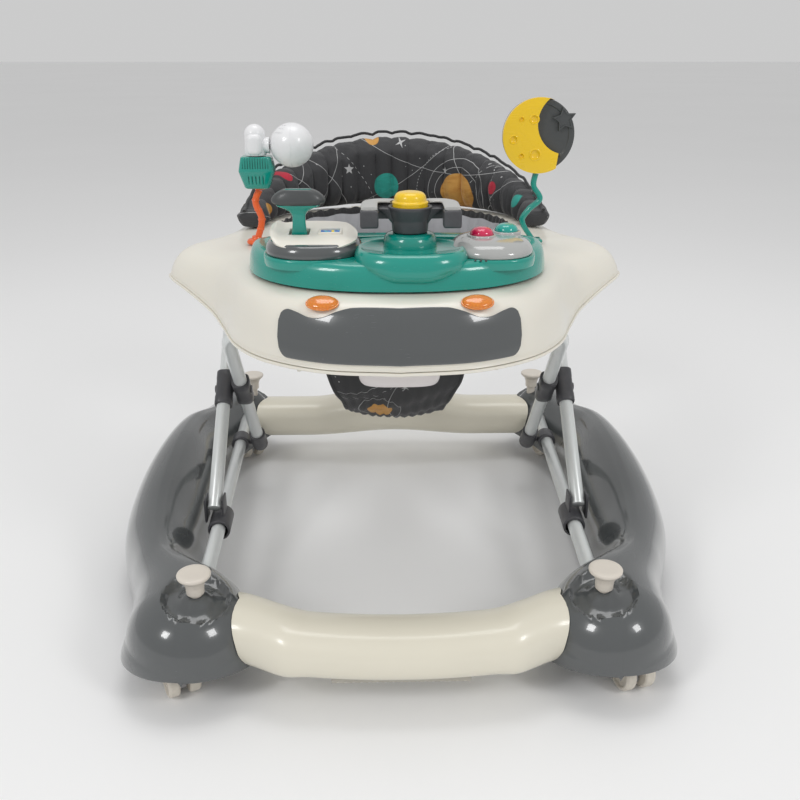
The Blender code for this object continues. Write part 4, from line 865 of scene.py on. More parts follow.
def lift_knob(name, end, sign):
    """The knob, its post and the arm to the socket that carries the caster."""
    x, y = KNOBS[end]
    spot = Vector((sign * x, y, 0))
    cx, cy = CASTERS[end]
    caster = Vector((sign * cx, cy, 0))
    edge = rounded_profile([
        (0.0065, CARRIAGE_Z - 0.006), (0.0065, KNOB_TOP - 0.0245), (0.0090, KNOB_TOP - 0.0240),
        (0.0094, KNOB_TOP - 0.0150), (0.0115, KNOB_TOP - 0.0090), (0.0170, KNOB_TOP - 0.0042),
        (0.0170, KNOB_TOP - 0.0010), (0.0130, KNOB_TOP), (0.0020, KNOB_TOP - 0.0007),
    ], 0.0022, 5)
    knob = turned(f"{name}_knob", edge, spot, sides=64)
    height = Vector((0, 0, CARRIAGE_Z))
    arm = rod("arm", spot + height, caster + height, 0.0045, 20)
    socket = turned("socket", rounded_profile([
        (0.0046, 0.0472), (0.0085, 0.0472), (0.0085, 0.0695), (0.0030, 0.0695), ], 0.0009, 3), caster, sides=32)
    bore = rod("bore", caster + Vector((0, 0, 0.040)), caster + Vector((0, 0, 0.0677)), 0.0044, 28)
    cut(knob, arm, "UNION")
    cut(knob, socket, "UNION")
    cut(knob, bore)
    install(knob, f"carriage_{name}", finish_named("knob"), "knob_plastic", f"{name}_lift_knob", smooth=45)


def caster(name, end, sign):
    """A swivelling fork between two moulded wheels."""
    x, y = CASTERS[end]
    spot = Vector((sign * x, y, 0))
    pose = Matrix.Translation(spot) @ Matrix.Rotation(math.radians(CASTER_TURN[name]), 4, "Z")
    axle = pose @ Vector((0, CASTER_TRAIL, WHEEL_RADIUS))
    side = pose.to_3x3() @ Vector((1, 0, 0))
    top = 0.0466
    fork = turned(f"{name}_fork", rounded_profile([
        (0.0113, top - 0.0045), (0.0115, top), (0.0040, top), (0.0040, 0.0672), (0.0020, 0.0673)], 0.0007, 3),
        spot, sides=36)
    half = WHEEL_GAP / 2 - 0.0008
    web = block("web", (-half, -0.007, 0.009), (half, CASTER_TRAIL + 0.009, top - 0.002), 0.0018)
    web.matrix_world = pose
    settle(web)
    cut(fork, web, "UNION")
    cut(fork, rod("axle hole", axle - side * 0.02, axle + side * 0.02, 0.0034, 24))
    install(fork, f"caster_{name}", finish_named("fork"), "fork_plastic", f"{name}_caster_fork")
    inner, outer = WHEEL_GAP / 2, WHEEL_GAP / 2 + WHEEL_WIDTH
    wheel = rounded_profile([
        (0.0015, outer - 0.0022), (0.0050, outer - 0.0022), (0.0056, outer - 0.0004), (0.0076, outer - 0.0004),
        (0.0084, outer - 0.0026), (0.0150, outer - 0.0026), (0.0160, outer), (0.0182, outer),
        (WHEEL_RADIUS, outer - 0.0026), (WHEEL_RADIUS, inner + 0.0020), (0.0184, inner), (0.0030, inner),
        (0.0030, 0.0), ], 0.0008, 3)
    whole = wheel + [(r, -h) for r, h in wheel[::-1][1:]]
    pair = turned(f"{name}_wheels", whole[::-1], axle, side, 56)
    install(pair, f"wheels_{name}", finish_named("wheel"), "knob_plastic", f"{name}_wheel_pair", smooth=45)


# ---- leg frames -------------------------------------------------------------------------------
def front_leg_tube():
    """One bent tube: up the left side, across under the tray and down the right side."""
    bottom = REAR_PIVOT + step_along(FRONT_LEG_UP, 0.0091)
    x, bend = LEG_X["front"], 0.036
    bend_start = FRONT_LEG_TOP - step_along(FRONT_LEG_UP, bend)
    half = [at_x(-x, bottom + (bend_start - bottom) * k / 8) for k in range(8)]
    for k in range(15):
        angle = math.radians(90 * k / 14)
        rise = bend_start + step_along(FRONT_LEG_UP, bend * math.sin(angle))
        half.append(at_x(-(x - bend * (1 - math.cos(angle))), rise))
    path = half + [at_x(-p.x, p) for p in half[::-1]]
    tube = sweep("front_leg_steel", path, round_section(chosen().tube_radius, 32), up=(1, 0.3, 0))
    install(tube, "front_legs", finish_named("tube"), "painted_tube", "front_leg_tube")


def sleeve_body(name, centre, angle, half, wide, sign):
    """A squared sleeve round a leg tube, slimmer along its middle than at its two ends."""
    way = step_along(angle, 1.0)
    turn = way.to_track_quat("Z", "Y").to_matrix()
    rings = []
    for z, scale in ((-half, 0.93), (-half + 0.0012, 1.0), (-half * 0.55, 1.0), (-half * 0.45, 0.965), (half * 0.45, 0.965),
                     (half * 0.55, 1.0), (half - 0.0012, 1.0), (half, 0.93)):
        ring = []
        for k in range(44):
            a, b = superellipse(wide * scale, wide * scale, 2 * math.pi * k / 44, 3.0)
            ring.append(centre + turn @ Vector((a, b, z)))
        rings.append(ring)
    return loft(name, rings)


def leg_fittings(side, sign):
    """Sleeves at the crossing, the plug and bracket at the rear pivot and the sliding collar."""
    dark = finish_named("fitting")
    front_x, rear_x = LEG_X["front"], LEG_X["rear"]
    centre = at_x(sign * front_x, CROSSING)
    clip = sleeve_body(f"{side}_clip", centre, FRONT_LEG_UP, 0.024, 0.0112, sign)
    start = centre + Vector((sign * 0.0101, 0, 0))
    cut(clip, rod("stub", start, centre + Vector((sign * 0.0140, 0, 0)), 0.0040, 24), "UNION")
    cap = turned("screw", rounded_profile([(0.0052, -0.002), (0.0052, 0.0012), (0.0010, 0.0014)], 0.0006),
                 centre - Vector((sign * 0.0108, 0, 0)), (-sign, 0, 0), 28)
    cut(clip, cap, "UNION")
    install(clip, "front_legs", dark, "dark_fittings", f"{side}_front_leg_clip")
    centre = at_x(sign * rear_x, CROSSING)
    sleeve = sleeve_body(f"{side}_sleeve", centre, REAR_LEG_UP, 0.024, 0.0112, sign)
    cut(sleeve, rod("hole", centre - Vector((sign * 0.0142, 0, 0)), centre - Vector((sign * 0.0065, 0, 0)), 0.0044, 24))
    cap = turned("screw", rounded_profile([(0.0052, -0.002), (0.0052, 0.0012), (0.0010, 0.0014)], 0.0006),
                 centre + Vector((sign * 0.0108, 0, 0)), (sign, 0, 0), 28)
    cut(sleeve, cap, "UNION")
    install(sleeve, "rear_legs", dark, "dark_fittings", f"{side}_rear_leg_sleeve")
    # the plug on the front leg's lower end
    spot = at_x(sign * front_x, REAR_PIVOT)
    plug = turned(f"{side}_plug", rounded_profile([
        (0.0030, -0.0130), (0.0085, -0.0130), (0.0113, -0.0090), (0.0113, 0.0300), (0.0088, 0.0300)], 0.0018, 5),
        spot, step_along(FRONT_LEG_UP, 1.0), 40)
    cut(plug, rod("hole", spot - Vector((0.02, 0, 0)), spot + Vector((0.02, 0, 0)), 0.0044, 28))
    install(plug, "front_legs", dark, "dark_fittings", f"{side}_leg_cap")
    # the bracket clamped on the base tube
    y = REAR_PIVOT.y
    centre = Vector((sign * base_tube_x(y), y, BASE_TUBE_Z))
    axis = Vector((sign * 0.035, 1, 0)).normalized()
    ring = turned(f"{side}_bracket", rounded_profile([
        (0.0100, -0.012), (0.0128, -0.0105), (0.0128, 0.0105), (0.0100, 0.012)], 0.0008), centre, axis, 40)
    cut(ring, rod("bore", centre - axis * 0.02, centre + axis * 0.02, chosen().tube_radius + 0.0006, 36))
    start = centre - Vector((sign * 0.0103, 0, 0))
    cut(ring, rod("stub", start, at_x(sign * (front_x - 0.0105), centre), 0.0040, 28, bevel=0.0006), "UNION")
    install(ring, "base", dark, "dark_fittings", f"{side}_rear_bracket")
    # the collar that slides on the base tube, with a fork and pin for the rear leg
    low_y = FRONT_PIVOT.y
    mean_x = (base_tube_x(low_y) + base_tube_x(low_y - 0.075)) / 2
    centre = Vector((sign * mean_x, low_y - 0.004, BASE_TUBE_Z))
    bore = chosen().tube_radius + 0.0023
    outer = bore + 0.0026
    collar = turned(f"{side}_collar", rounded_profile([
        (bore, -0.021), (outer, -0.020), (outer, 0.020), (bore, 0.021)], 0.0008), centre, axis, 40)
    for way in (-1, 1):
        a, b = sorted((sign * rear_x + way * 0.0093, sign * rear_x + way * 0.0119))
        ear = block("ear", (a, low_y - 0.011, BASE_TUBE_Z + 0.003), (b, low_y + 0.011, FRONT_PIVOT.z + 0.008), 0.0009, 2)
        cut(collar, ear, "UNION")
    pin = [at_x(sign * rear_x + way * 0.01085, FRONT_PIVOT) for way in (-1, 1)]
    cut(collar, rod("pin", pin[0], pin[1], 0.003, 24), "UNION")
    cut(collar, rod("bore", centre - axis * 0.03, centre + axis * 0.03, bore, 40))
    install(collar, "slide_collars", dark, "dark_fittings", f"{side}_slide_collar")


def rear_leg_tube(side, sign):
    low = at_x(sign * LEG_X["rear"], FRONT_PIVOT - step_along(REAR_LEG_UP, 0.008))
    high = at_x(sign * LEG_X["rear"], REAR_LEG_TOP + step_along(REAR_LEG_UP, 0.008))
    tube = rod(f"{side}_rear_leg_steel", low, high, chosen().tube_radius, 40, bevel=0.0008)
    for pivot in (FRONT_PIVOT, REAR_LEG_TOP):
        ends = [at_x(sign * LEG_X["rear"] + reach, pivot) for reach in (-0.02, 0.02)]
        cut(tube, rod("hole", ends[0], ends[1], 0.0034, 24))
    install(tube, "rear_legs", finish_named("tube"), "painted_tube", f"{side}_rear_leg_tube")


# ---- tray -------------------------------------------------------------------------------------
@functools.lru_cache(None)
def tray_outline(count):
    """Points round the tray, from the front centre counter-clockwise seen from above: (x, y, wing)."""
    lengths = [0.0]
    for a, b in zip(TRAY_HALF_OUTLINE, TRAY_HALF_OUTLINE[1:]):
        lengths.append(lengths[-1] + math.hypot(b[0] - a[0], b[1] - a[1]))
    stations = [(length, *point) for length, point in zip(lengths, TRAY_HALF_OUTLINE)]
    right = []
    for k in range(count // 2 + 1):
        at = lengths[-1] * k / (count // 2)
        right.append(tuple(through(stations, at, column) for column in (1, 2, 3)))
    return right + [(-x, y, wing) for x, y, wing in reversed(right[1:-1])]


def hole_point(x, y):
    half_x, half_y, centre = SEAT_HOLE
    angle = math.atan2((y - centre) / half_y, x / half_x)
    return half_x * math.cos(angle), centre + half_y * math.sin(angle)


def tray_point(outline_point, level, inward=0.0):
    """A point of the tray's outer surface: level 0 is the rim, 5 the top edge, 6 the hole's lip, 7 its bottom."""
    x, y, wing = outline_point
    wing = min(1.0, max(0.0, wing))
    hx, hy = hole_point(x, y)
    reach = math.hypot(hx - x, hy - y)
    rim = TRAY_RIM + 0.026 * wing
    top = TRAY_TOP - 0.002 * wing
    if level <= 5:
        distance = through(TRAY_PROFILE, level, 1) * (1 + 0.5 * wing)
        height = rim + (top - rim) * through(TRAY_PROFILE, level, 2)
    else:
        flat = 0.048 * (1 + 0.5 * wing)
        lip = ((5.0, flat, top), (5.8, reach - 0.008, TRAY_TOP), (6.1, reach - 0.0035, TRAY_TOP - 0.0012),
               (6.4, reach - 0.0008, TRAY_TOP - 0.0060), (7.0, reach, TRAY_RIM + 0.006))
        distance, height = through(lip, level, 1), through(lip, level, 2)
        if level < 5.8:
            share = (level - 5.0) / 0.8
            distance, height = flat + (reach - 0.008 - flat) * share, top + (TRAY_TOP - top) * share
    t = distance / reach
    return Vector((x + (hx - x) * t, y + (hy - y) * t, height))


def tray_shells():
    """The cream upper tray with its two wings, and the floor that closes it from below."""
    outline = tray_outline(240)
    levels = [0.0, 0.10, 0.22, 0.24] + [0.24 + 4.76 * k / 26 for k in range(1, 27)]
    levels += [5.2, 5.4, 5.6, 5.8, 5.9, 6.0, 6.1, 6.2, 6.3, 6.4, 6.7, 7.0]
    rows = []
    for level in levels:
        row = []
        for point in outline:
            spot = tray_point(point, level)
            if 0.05 < level < 0.23:
                spot += Vector((spot.x, spot.y - 0.07, 0)).normalized() * -0.0009
            row.append(spot)
        rows.append(row)
    shell = skin("tray_top", rows, wrap=True, closed=False)
    wall(shell, 0.0025)
    install(shell, "tray", finish_named("cream"), "cream_plastic", "tray_upper_shell", smooth=32)
    rows = []
    for index in range(6):
        row = []
        for x, y, wing in outline:
            wing = min(1.0, max(0.0, wing))
            rim = TRAY_RIM + 0.026 * wing - 0.0006
            edge = Vector((x, y, 0))
            inner = Vector((*hole_point(x, y), 0))
            way = (inner - edge).normalized()
            drop = min(0.004, 0.3 * (rim - TRAY_RIM) + 0.004)
            spot, height = (
                (edge - way * 0.002, rim), (edge - way * 0.002, rim - 0.003), (edge + way * 0.020, rim - 0.003 - drop),
                (inner, TRAY_RIM - 0.0076), (inner, TRAY_RIM - 0.0046), (edge + way * 0.020, rim - drop),
            )[index]
            row.append((spot.x, spot.y, height))
        rows.append(row)
    floor = skin("tray_floor", rows, wrap=True, loop=True)
    soften(floor, 0.0008, 2, 40)
    level = TRAY_RIM - 0.0060
    fins = []
    for _, sign in SIDES:
        x = sign * 0.105
        front, back = FRONT_LEG_TOP.y - 0.0755 - 0.0105, FRONT_LEG_TOP.y + 0.0105
        low, high = FRONT_LEG_TOP.z - 0.0110, FRONT_LEG_TOP.z + 0.0110
        fin = block("fin", (x - 0.002, front - 0.008, low - 0.006), (x + 0.002, back + 0.006, level), 0.0006, 2)
        cut(fin, block("slot", (x - 0.006, front, low), (x + 0.006, back, high), 0.0030, 4))
        fins.append(fin)
        middle, top, span = sign * LEG_X["rear"], REAR_LEG_TOP, 0.0123
        low = top.z + 0.0135
        lug = block("lug", (middle - span, top.y - 0.011, low), (middle + span, top.y + 0.011, level + 0.0035), 0.0009, 2)
        a, b = sorted((middle - sign * span * 0.5, middle - sign * 0.034))
        cut(lug, block("arm", (a, top.y - 0.009, level - 0.012), (b, top.y + 0.009, level + 0.001), 0.0012, 2), "UNION")
        for way in (-1, 1):
            a, b = sorted((middle + way * 0.0093, middle + way * span))
            ear = block("ear", (a, top.y - 0.010, top.z - 0.008), (b, top.y + 0.010, low + 0.004), 0.0009, 2)
            cut(lug, ear, "UNION")
        ends = [at_x(middle + way * 0.0111, top) for way in (-1, 1)]
        cut(lug, rod("pin", ends[0], ends[1], 0.003, 24), "UNION")
        fins.append(lug)
    join(floor, *fins)
    install(floor, "tray", finish_named("cream"), "cream_plastic", "tray_lower_shell", smooth=32)


def bumper_spot(along, level, proud=0.0):
    """A point on the tray's front wall, by the distance along its outline from the middle."""
    half = tray_outline(600)
    lengths, total = [0.0], 0.0
    for a, b in zip(half, half[1:160]):
        total += math.hypot(b[0] - a[0], b[1] - a[1])
        lengths.append(total)
    i = 0
    while i < len(lengths) - 2 and lengths[i + 1] < abs(along):
        i += 1
    share = (abs(along) - lengths[i]) / (lengths[i + 1] - lengths[i])
    x, y, wing = (half[i][c] + (half[i + 1][c] - half[i][c]) * share for c in range(3))
    point = (math.copysign(x, along), y, wing)
    spot = tray_point(point, level)
    ahead = tray_point(point, level + 0.05)
    away = Vector((point[0], point[1] - 0.070, 0)).normalized()
    slope = (ahead - spot).normalized()
    normal = Vector((0, 0, 1)).lerp(away, max(0.0, slope.z)).normalized()
    return spot + normal * proud


BUMPER_EDGE = (          # distance from the middle, share of the way up the nose
    (-0.02, 3.12), (0.0, 3.12), (0.044, 3.08), (0.060, 2.78), (0.074, 2.36), (0.087, 2.28), (0.102, 2.50), (0.115, 2.62),
    (0.130, 2.64),
)


def bumper():
    """The glossy dark panel on the tray's nose, with two engraved drops."""
    reach = 0.1215
    rows = []
    levels, columns = 30, 120
    bounds = []
    for j in range(columns + 1):
        u = -1 + 2 * j / columns
        along = u * reach
        top = through(BUMPER_EDGE, abs(along), 1)
        closing = max(0.0, (abs(u) - 0.90) / 0.10)
        round_off = 1 - math.sqrt(max(0.0, 1 - closing**2))
        bounds.append((along, 0.30 + 0.85 * round_off, top - 0.75 * round_off))
    for i in range(levels + 1):
        t = i / levels
        rows.append([bumper_spot(along, low + (high - low) * t, 0.0015) for along, low, high in bounds])
    panel = skin("bumper", rows, closed=False, flip=True)
    wall(panel, 0.002, 1.0)
    soften(panel, 0.0009, 3, 50)
    for sign in (-1, 1):
        drop = []
        for k in range(41):
            angle = 2 * math.pi * k / 40
            width = 0.0078 * math.cos(angle) * (0.30 + 0.70 * (1 + math.sin(angle)) / 2)
            level = 1.50 + 1.02 * math.sin(angle)
            lean = 0.0050 * math.sin(angle)
            drop.append(bumper_spot(sign * (0.0262 + lean) + width, level, 0.0036))
        groove = sweep("groove", drop, round_section(0.0006, 8), up=(0, -1, 0.3))
        cut(panel, groove)
    install(panel, "tray", finish_named("dark gloss"), "dark_gloss_plastic", "bumper_panel", smooth=40)


def lamp(side, sign):
    """An oval lens with a stepped rim."""
    centre = Vector((sign * 0.071, -0.2470, 0.4020))
    normal = Vector((sign * 0.05, -0.42, 0.90)).normalized()
    turn = normal.to_track_quat("Z", "Y").to_matrix()
    rings = []
    for height, scale in ((0.0, 1.0), (0.0008, 1.0), (0.0013, 0.985), (0.0014, 0.95), (0.0013, 0.92), (0.0022, 0.90),
                          (0.0032, 0.82), (0.0040, 0.68), (0.0045, 0.50), (0.0048, 0.25)):
        ring = []
        for k in range(64):
            a, b = superellipse(0.0155 * scale, 0.0100 * scale, 2 * math.pi * k / 64, 2.0)
            ring.append(centre + turn @ Vector((a, b, height)))
        rings.append(ring)
    install(loft(f"{side}_lens", rings), "tray", finish_named("lamp"), "lamp_orange", f"{side}_lamp", smooth=50)


def release_handle():
    """The pull handle under the tray's nose, hollowed below for the fingers."""
    rings = []
    for z, scale in ((0.3330, 1.0), (0.3240, 1.0), (0.3190, 0.985), (0.3162, 0.955), (0.3146, 0.915), (0.3142, 0.86),
                     (0.3142, 0.80), (0.3150, 0.77), (0.3220, 0.74)):
        rings.append([(a, b - 0.214, z) for a, b in (
            superellipse(0.040 * scale, 0.022 * scale, 2 * math.pi * k / 72, 3.5) for k in range(72))])
    grip = loft("handle", rings)
    install(grip, "latch_handle", finish_named("handle"), "white_plastic", "release_handle", smooth=45)


# ---- toy panel --------------------------------------------------------------------------------
def panel_ring(scale, z, count=36):
    half_x, front, back, centre = PANEL
    inset = (1 - scale) * 0.083
    ring = []
    for k in range(count):
        angle = 2 * math.pi * k / count
        depth = back if math.sin(angle) > 0 else front
        a, b = superellipse(half_x - inset, depth - inset, angle, 2.25)
        ring.append((a, centre + b, z))
    return ring


def oval_rings(centre, half, levels, power=2.3, count=72):
    """Rings of one oval outline at several sizes and heights."""
    rings = []
    for scale, z in levels:
        rings.append([(centre[0] + a, centre[1] + b, z) for a, b in (
            superellipse(half[0] * scale, half[1] * scale, 2 * math.pi * k / count, power) for k in range(count))])
    return rings


def toy_panel():
    """The raised teal panel: its wall, a bulging desk in the middle and the domed post of the wheel."""
    levels = ((1.0, 0.409), (0.997, 0.412), (0.992, 0.417), (0.984, 0.4215), (0.970, 0.4262), (0.951, 0.4296),
              (0.928, 0.4316), (0.90, 0.4328), (0.86, 0.4335), (0.65, 0.4335), (0.45, 0.4335), (0.2, 0.4335))
    rows = [panel_ring(scale, z, 200) for scale, z in levels]
    rows.append([(0.0, PANEL[3], PANEL_TOP)] * 200)
    panel = skin("toy_tray", rows, wrap=True, closed=False)
    wall(panel, 0.0025)
    # the desk: a lens-shaped bulge whose top slopes up to the post
    rings = []
    for scale, z, push in ((0.84, 0.4140, 0.0060), (0.94, 0.4175, 0.0018), (0.995, 0.4225, 0.0), (1.0, 0.4290, 0.0),
                           (0.992, 0.4345, 0.0004), (0.972, 0.4392, 0.0016), (0.945, 0.4418, 0.0032), (0.91, 0.4430, 0.0050),
                           (0.87, 0.4424, 0.0068), (0.80, 0.4404, 0.0090), (0.60, 0.4392, 0.0160), (0.30, 0.4388, 0.0240)):
        ring = []
        for k in range(96):
            a, b = superellipse(0.0545 * scale, 0.0440 * scale, 2 * math.pi * k / 96, 2.6)
            lens = 1 - 0.35 * smooth_step((abs(a) / 0.0545 - 0.25) / 0.75) * smooth_step((0.431 - z) / 0.016)
            depth = -0.1960 + b * (lens if b < 0 else 1.0)
            ring.append((WHEEL_POST[0] + a, depth + (push if b < 0 else 0.0), z))
        rings.append(ring)
    desk = loft("desk", rings)
    pads = []
    for x, y, half_x, half_y in ((LEFT_CONSOLE[0], LEFT_CONSOLE[1] + 0.001, 0.0495, 0.0475),
                                 (RIGHT_CONSOLE[0], RIGHT_CONSOLE[1] + 0.001, 0.0425, 0.0475)):
        pads.append(loft("pad", oval_rings((x, y), (half_x, half_y), (
            (0.985, 0.4240), (0.998, 0.4270), (1.0, 0.4305), (0.998, 0.4322), (0.988, 0.4333), (0.972, 0.4337),
            (0.93, 0.4337)), 2.5, 96)))
    x, y, radius = WHEEL_POST
    profile = [(radius * 1.06, 0.4325), (radius * 1.06, 0.4358), (radius * 1.02, 0.4372),
               (radius * 0.985, 0.4376), (radius, 0.4384)]
    for k in range(1, 12):
        lift = math.radians(90 * k / 12)
        profile.append((0.0178 + (radius - 0.0178) * math.cos(lift) ** 0.62, 0.4384 + 0.0128 * math.sin(lift)))
    profile += [(0.0176, 0.4515), (0.0050, 0.4515), (0.0050, 0.4635)]
    post = turned("post", profile, (x, y, 0), sides=72)
    join(panel, desk, *pads, post)
    install(panel, "tray", finish_named("teal"), "teal_plastic", "toy_panel", smooth=48)
    for k in range(3):
        dot = turned(f"speaker_dot_{k}", [(0.0010, 0.0), (0.0010, 0.0011), (0.0006, 0.0015)],
                     (0.0712 + 0.0050 * k, -0.2145 - 0.0004 * k, 0.4330), (0, -0.3, 1), 12)
        install(dot, "tray", finish_named("fitting"), "dark_fittings")


# ---- left console -----------------------------------------------------------------------------
def saddle_height(x, y):
    """The cream plate's surface: level in the middle, falling at the front and flicked up at its left edge."""
    u = (x - LEFT_CONSOLE[0]) / 0.047
    v = (y - LEFT_CONSOLE[1]) / 0.045
    fall = 0.0060 * smooth_step((-v - 0.45) / 0.50) + 0.0035 * smooth_step((abs(u) - 0.62) / 0.30)
    flick = 0.0070 * smooth_step((-u - 0.62) / 0.22) * smooth_step((v + 0.9) / 0.8)
    return 0.4522 + 0.0032 * v - fall + flick


def left_console():
    """The dark console with its cream saddle plate, the lever's slot and the drum's window."""
    body = loft("console_body", oval_rings(LEFT_CONSOLE[:2], LEFT_CONSOLE[2:], (
        (0.988, 0.4341), (1.0, 0.4352), (0.999, 0.4385), (0.985, 0.4408), (0.955, 0.4435), (0.92, 0.4452), (0.86, 0.4462),
        (0.50, 0.4464)), 2.3, 96))
    y = LEFT_CONSOLE[1]
    cut(body, block("pocket", (GEAR_X - 0.0105, y - 0.0125, 0.4353), (GEAR_X + 0.0105, y + 0.0125, 0.47), 0.001))
    cut(body, block("pocket", (DRUM_X - 0.0110, y - 0.0100, 0.4361), (DRUM_X + 0.0110, y + 0.0100, 0.47), 0.001))
    install(body, "tray", finish_named("dark gloss"), "dark_gloss_plastic", "left_console", smooth=40)
    rows = []
    for i in range(19):
        scale = 0.90 * math.sin(math.pi / 2 * i / 18)
        row = []
        for k in range(120):
            a, b = superellipse(0.047 * scale, 0.045 * scale, 2 * math.pi * k / 120, 2.8)
            row.append((LEFT_CONSOLE[0] + a, y + b, saddle_height(LEFT_CONSOLE[0] + a, y + b)))
        rows.append(row)
    plate = skin("saddle_plate", rows[::-1], wrap=True, closed=False)
    wall(plate, 0.0052, -1.0)
    cut(plate, block("slot", (GEAR_X - 0.0100, y - 0.0118, 0.42), (GEAR_X + 0.0100, y + 0.0118, 0.48), 0.0020, 4))
    cut(plate, block("window", (DRUM_X - 0.0097, y - 0.0088, 0.42), (DRUM_X + 0.0097, y + 0.0088, 0.48), 0.0008))
    soften(plate, 0.0006, 2, 50)
    frame_ring = block("ring", (DRUM_X - 0.0115, y - 0.0106, 0.4498), (DRUM_X + 0.0115, y + 0.0106, 0.4534), 0.0007)
    cut(frame_ring, block("hole", (DRUM_X - 0.0092, y - 0.0084, 0.44), (DRUM_X + 0.0092, y + 0.0084, 0.47), 0.0006))
    join(plate, frame_ring)
    install(plate, "tray", finish_named("cream"), "cream_plastic", "console_plate", smooth=35)
    drum = turned("picture_roller", rounded_profile([
        (0.0030, 0.0092), (0.0082, 0.0092), (0.0082, -0.0092), (0.0030, -0.0092)], 0.0006),
        (DRUM_X, y, 0.4453), (1, 0, 0), 56)
    install(drum, "drum", finish_named("pictures"), "picture_print", "picture_drum")


def gear_lever():
    """The teal lever with its flared neck and the six-sided dark grip."""
    y = LEFT_CONSOLE[1]
    rings = []
    for z, half_x, half_y in (
        (0.4371, 0.0088, 0.0030), (0.4380, 0.0090, 0.0040), (0.4406, 0.0090, 0.0048), (0.4480, 0.0080, 0.0047),
        (0.4560, 0.0068, 0.0045), (0.4640, 0.0062, 0.0045), (0.4680, 0.0064, 0.0046), (0.4706, 0.0076, 0.0051),
        (0.4728, 0.0098, 0.0060), (0.4746, 0.0132, 0.0070), (0.4762, 0.0176, 0.0080), (0.4774, 0.0207, 0.0087),
        (0.4780, 0.0212, 0.0090), (0.4784, 0.0210, 0.0089),
    ):
        rings.append([(GEAR_X + a, y + b, z) for a, b in (
            superellipse(half_x, half_y, 2 * math.pi * k / 56, 4.0) for k in range(56))])
    install(loft("lever_neck", rings), "gear", finish_named("teal"), "teal_plastic", "gear_lever", smooth=45)
    rings = []
    for z, half_x, half_y, power in (
        (0.4786, 0.0215, 0.0098, 2.6), (0.4796, 0.0240, 0.0110, 2.6), (0.4812, 0.0256, 0.0120, 2.6),
        (0.4826, 0.0260, 0.0122, 2.6), (0.4842, 0.0257, 0.0120, 2.6), (0.4870, 0.0238, 0.0112, 2.8),
        (0.4898, 0.0205, 0.0102, 3.0), (0.4916, 0.0170, 0.0092, 3.2), (0.4925, 0.0150, 0.0084, 3.2),
        (0.4926, 0.0120, 0.0068, 3.2),
    ):
        rings.append([(GEAR_X + a, y + b, z) for a, b in (
            superellipse(half_x, half_y, 2 * math.pi * k / 64, power) for k in range(64))])
    install(loft("lever_grip", rings), "gear", finish_named("dark satin"), "dark_gloss_plastic", "gear_grip", smooth=30)
    inlay = block("grip_inlay", (GEAR_X - 0.0125, y - 0.0010, 0.4918), (GEAR_X + 0.0125, y + 0.0010, 0.4931), 0.0004)
    install(inlay, "gear", finish_named("teal"), "teal_plastic")


# ---- steering wheel ---------------------------------------------------------------------------
def yoke_path(way):
    """The centre line of one hand hook, out from the hub's back and forward to its end block."""
    x, y = WHEEL_POST[:2]
    return [Vector((x + way * a, y + b, 0.4700)) for a, b in (
        (0.0070, 0.0120), (0.0130, 0.0160), (0.0195, 0.0190), (0.0255, 0.0205), (0.0310, 0.0200), (0.0355, 0.0172),
        (0.0382, 0.0125), (0.0392, 0.0060), (0.0393, -0.0020), (0.0393, -0.0110), (0.0393, -0.0200), (0.0393, -0.0260))]


def smoothed(points, times=2):
    for _ in range(times):
        made = [points[0]]
        for a, b in zip(points, points[1:]):
            made += [a.lerp(b, 0.25), a.lerp(b, 0.75)]
        points = made + [points[-1]]
    return points


def flat_section(half_across, half_up, power=4.0, count=28):
    ring = [superellipse(half_across, half_up, 2 * math.pi * k / count, power) for k in range(count)]
    return lambda share: ring


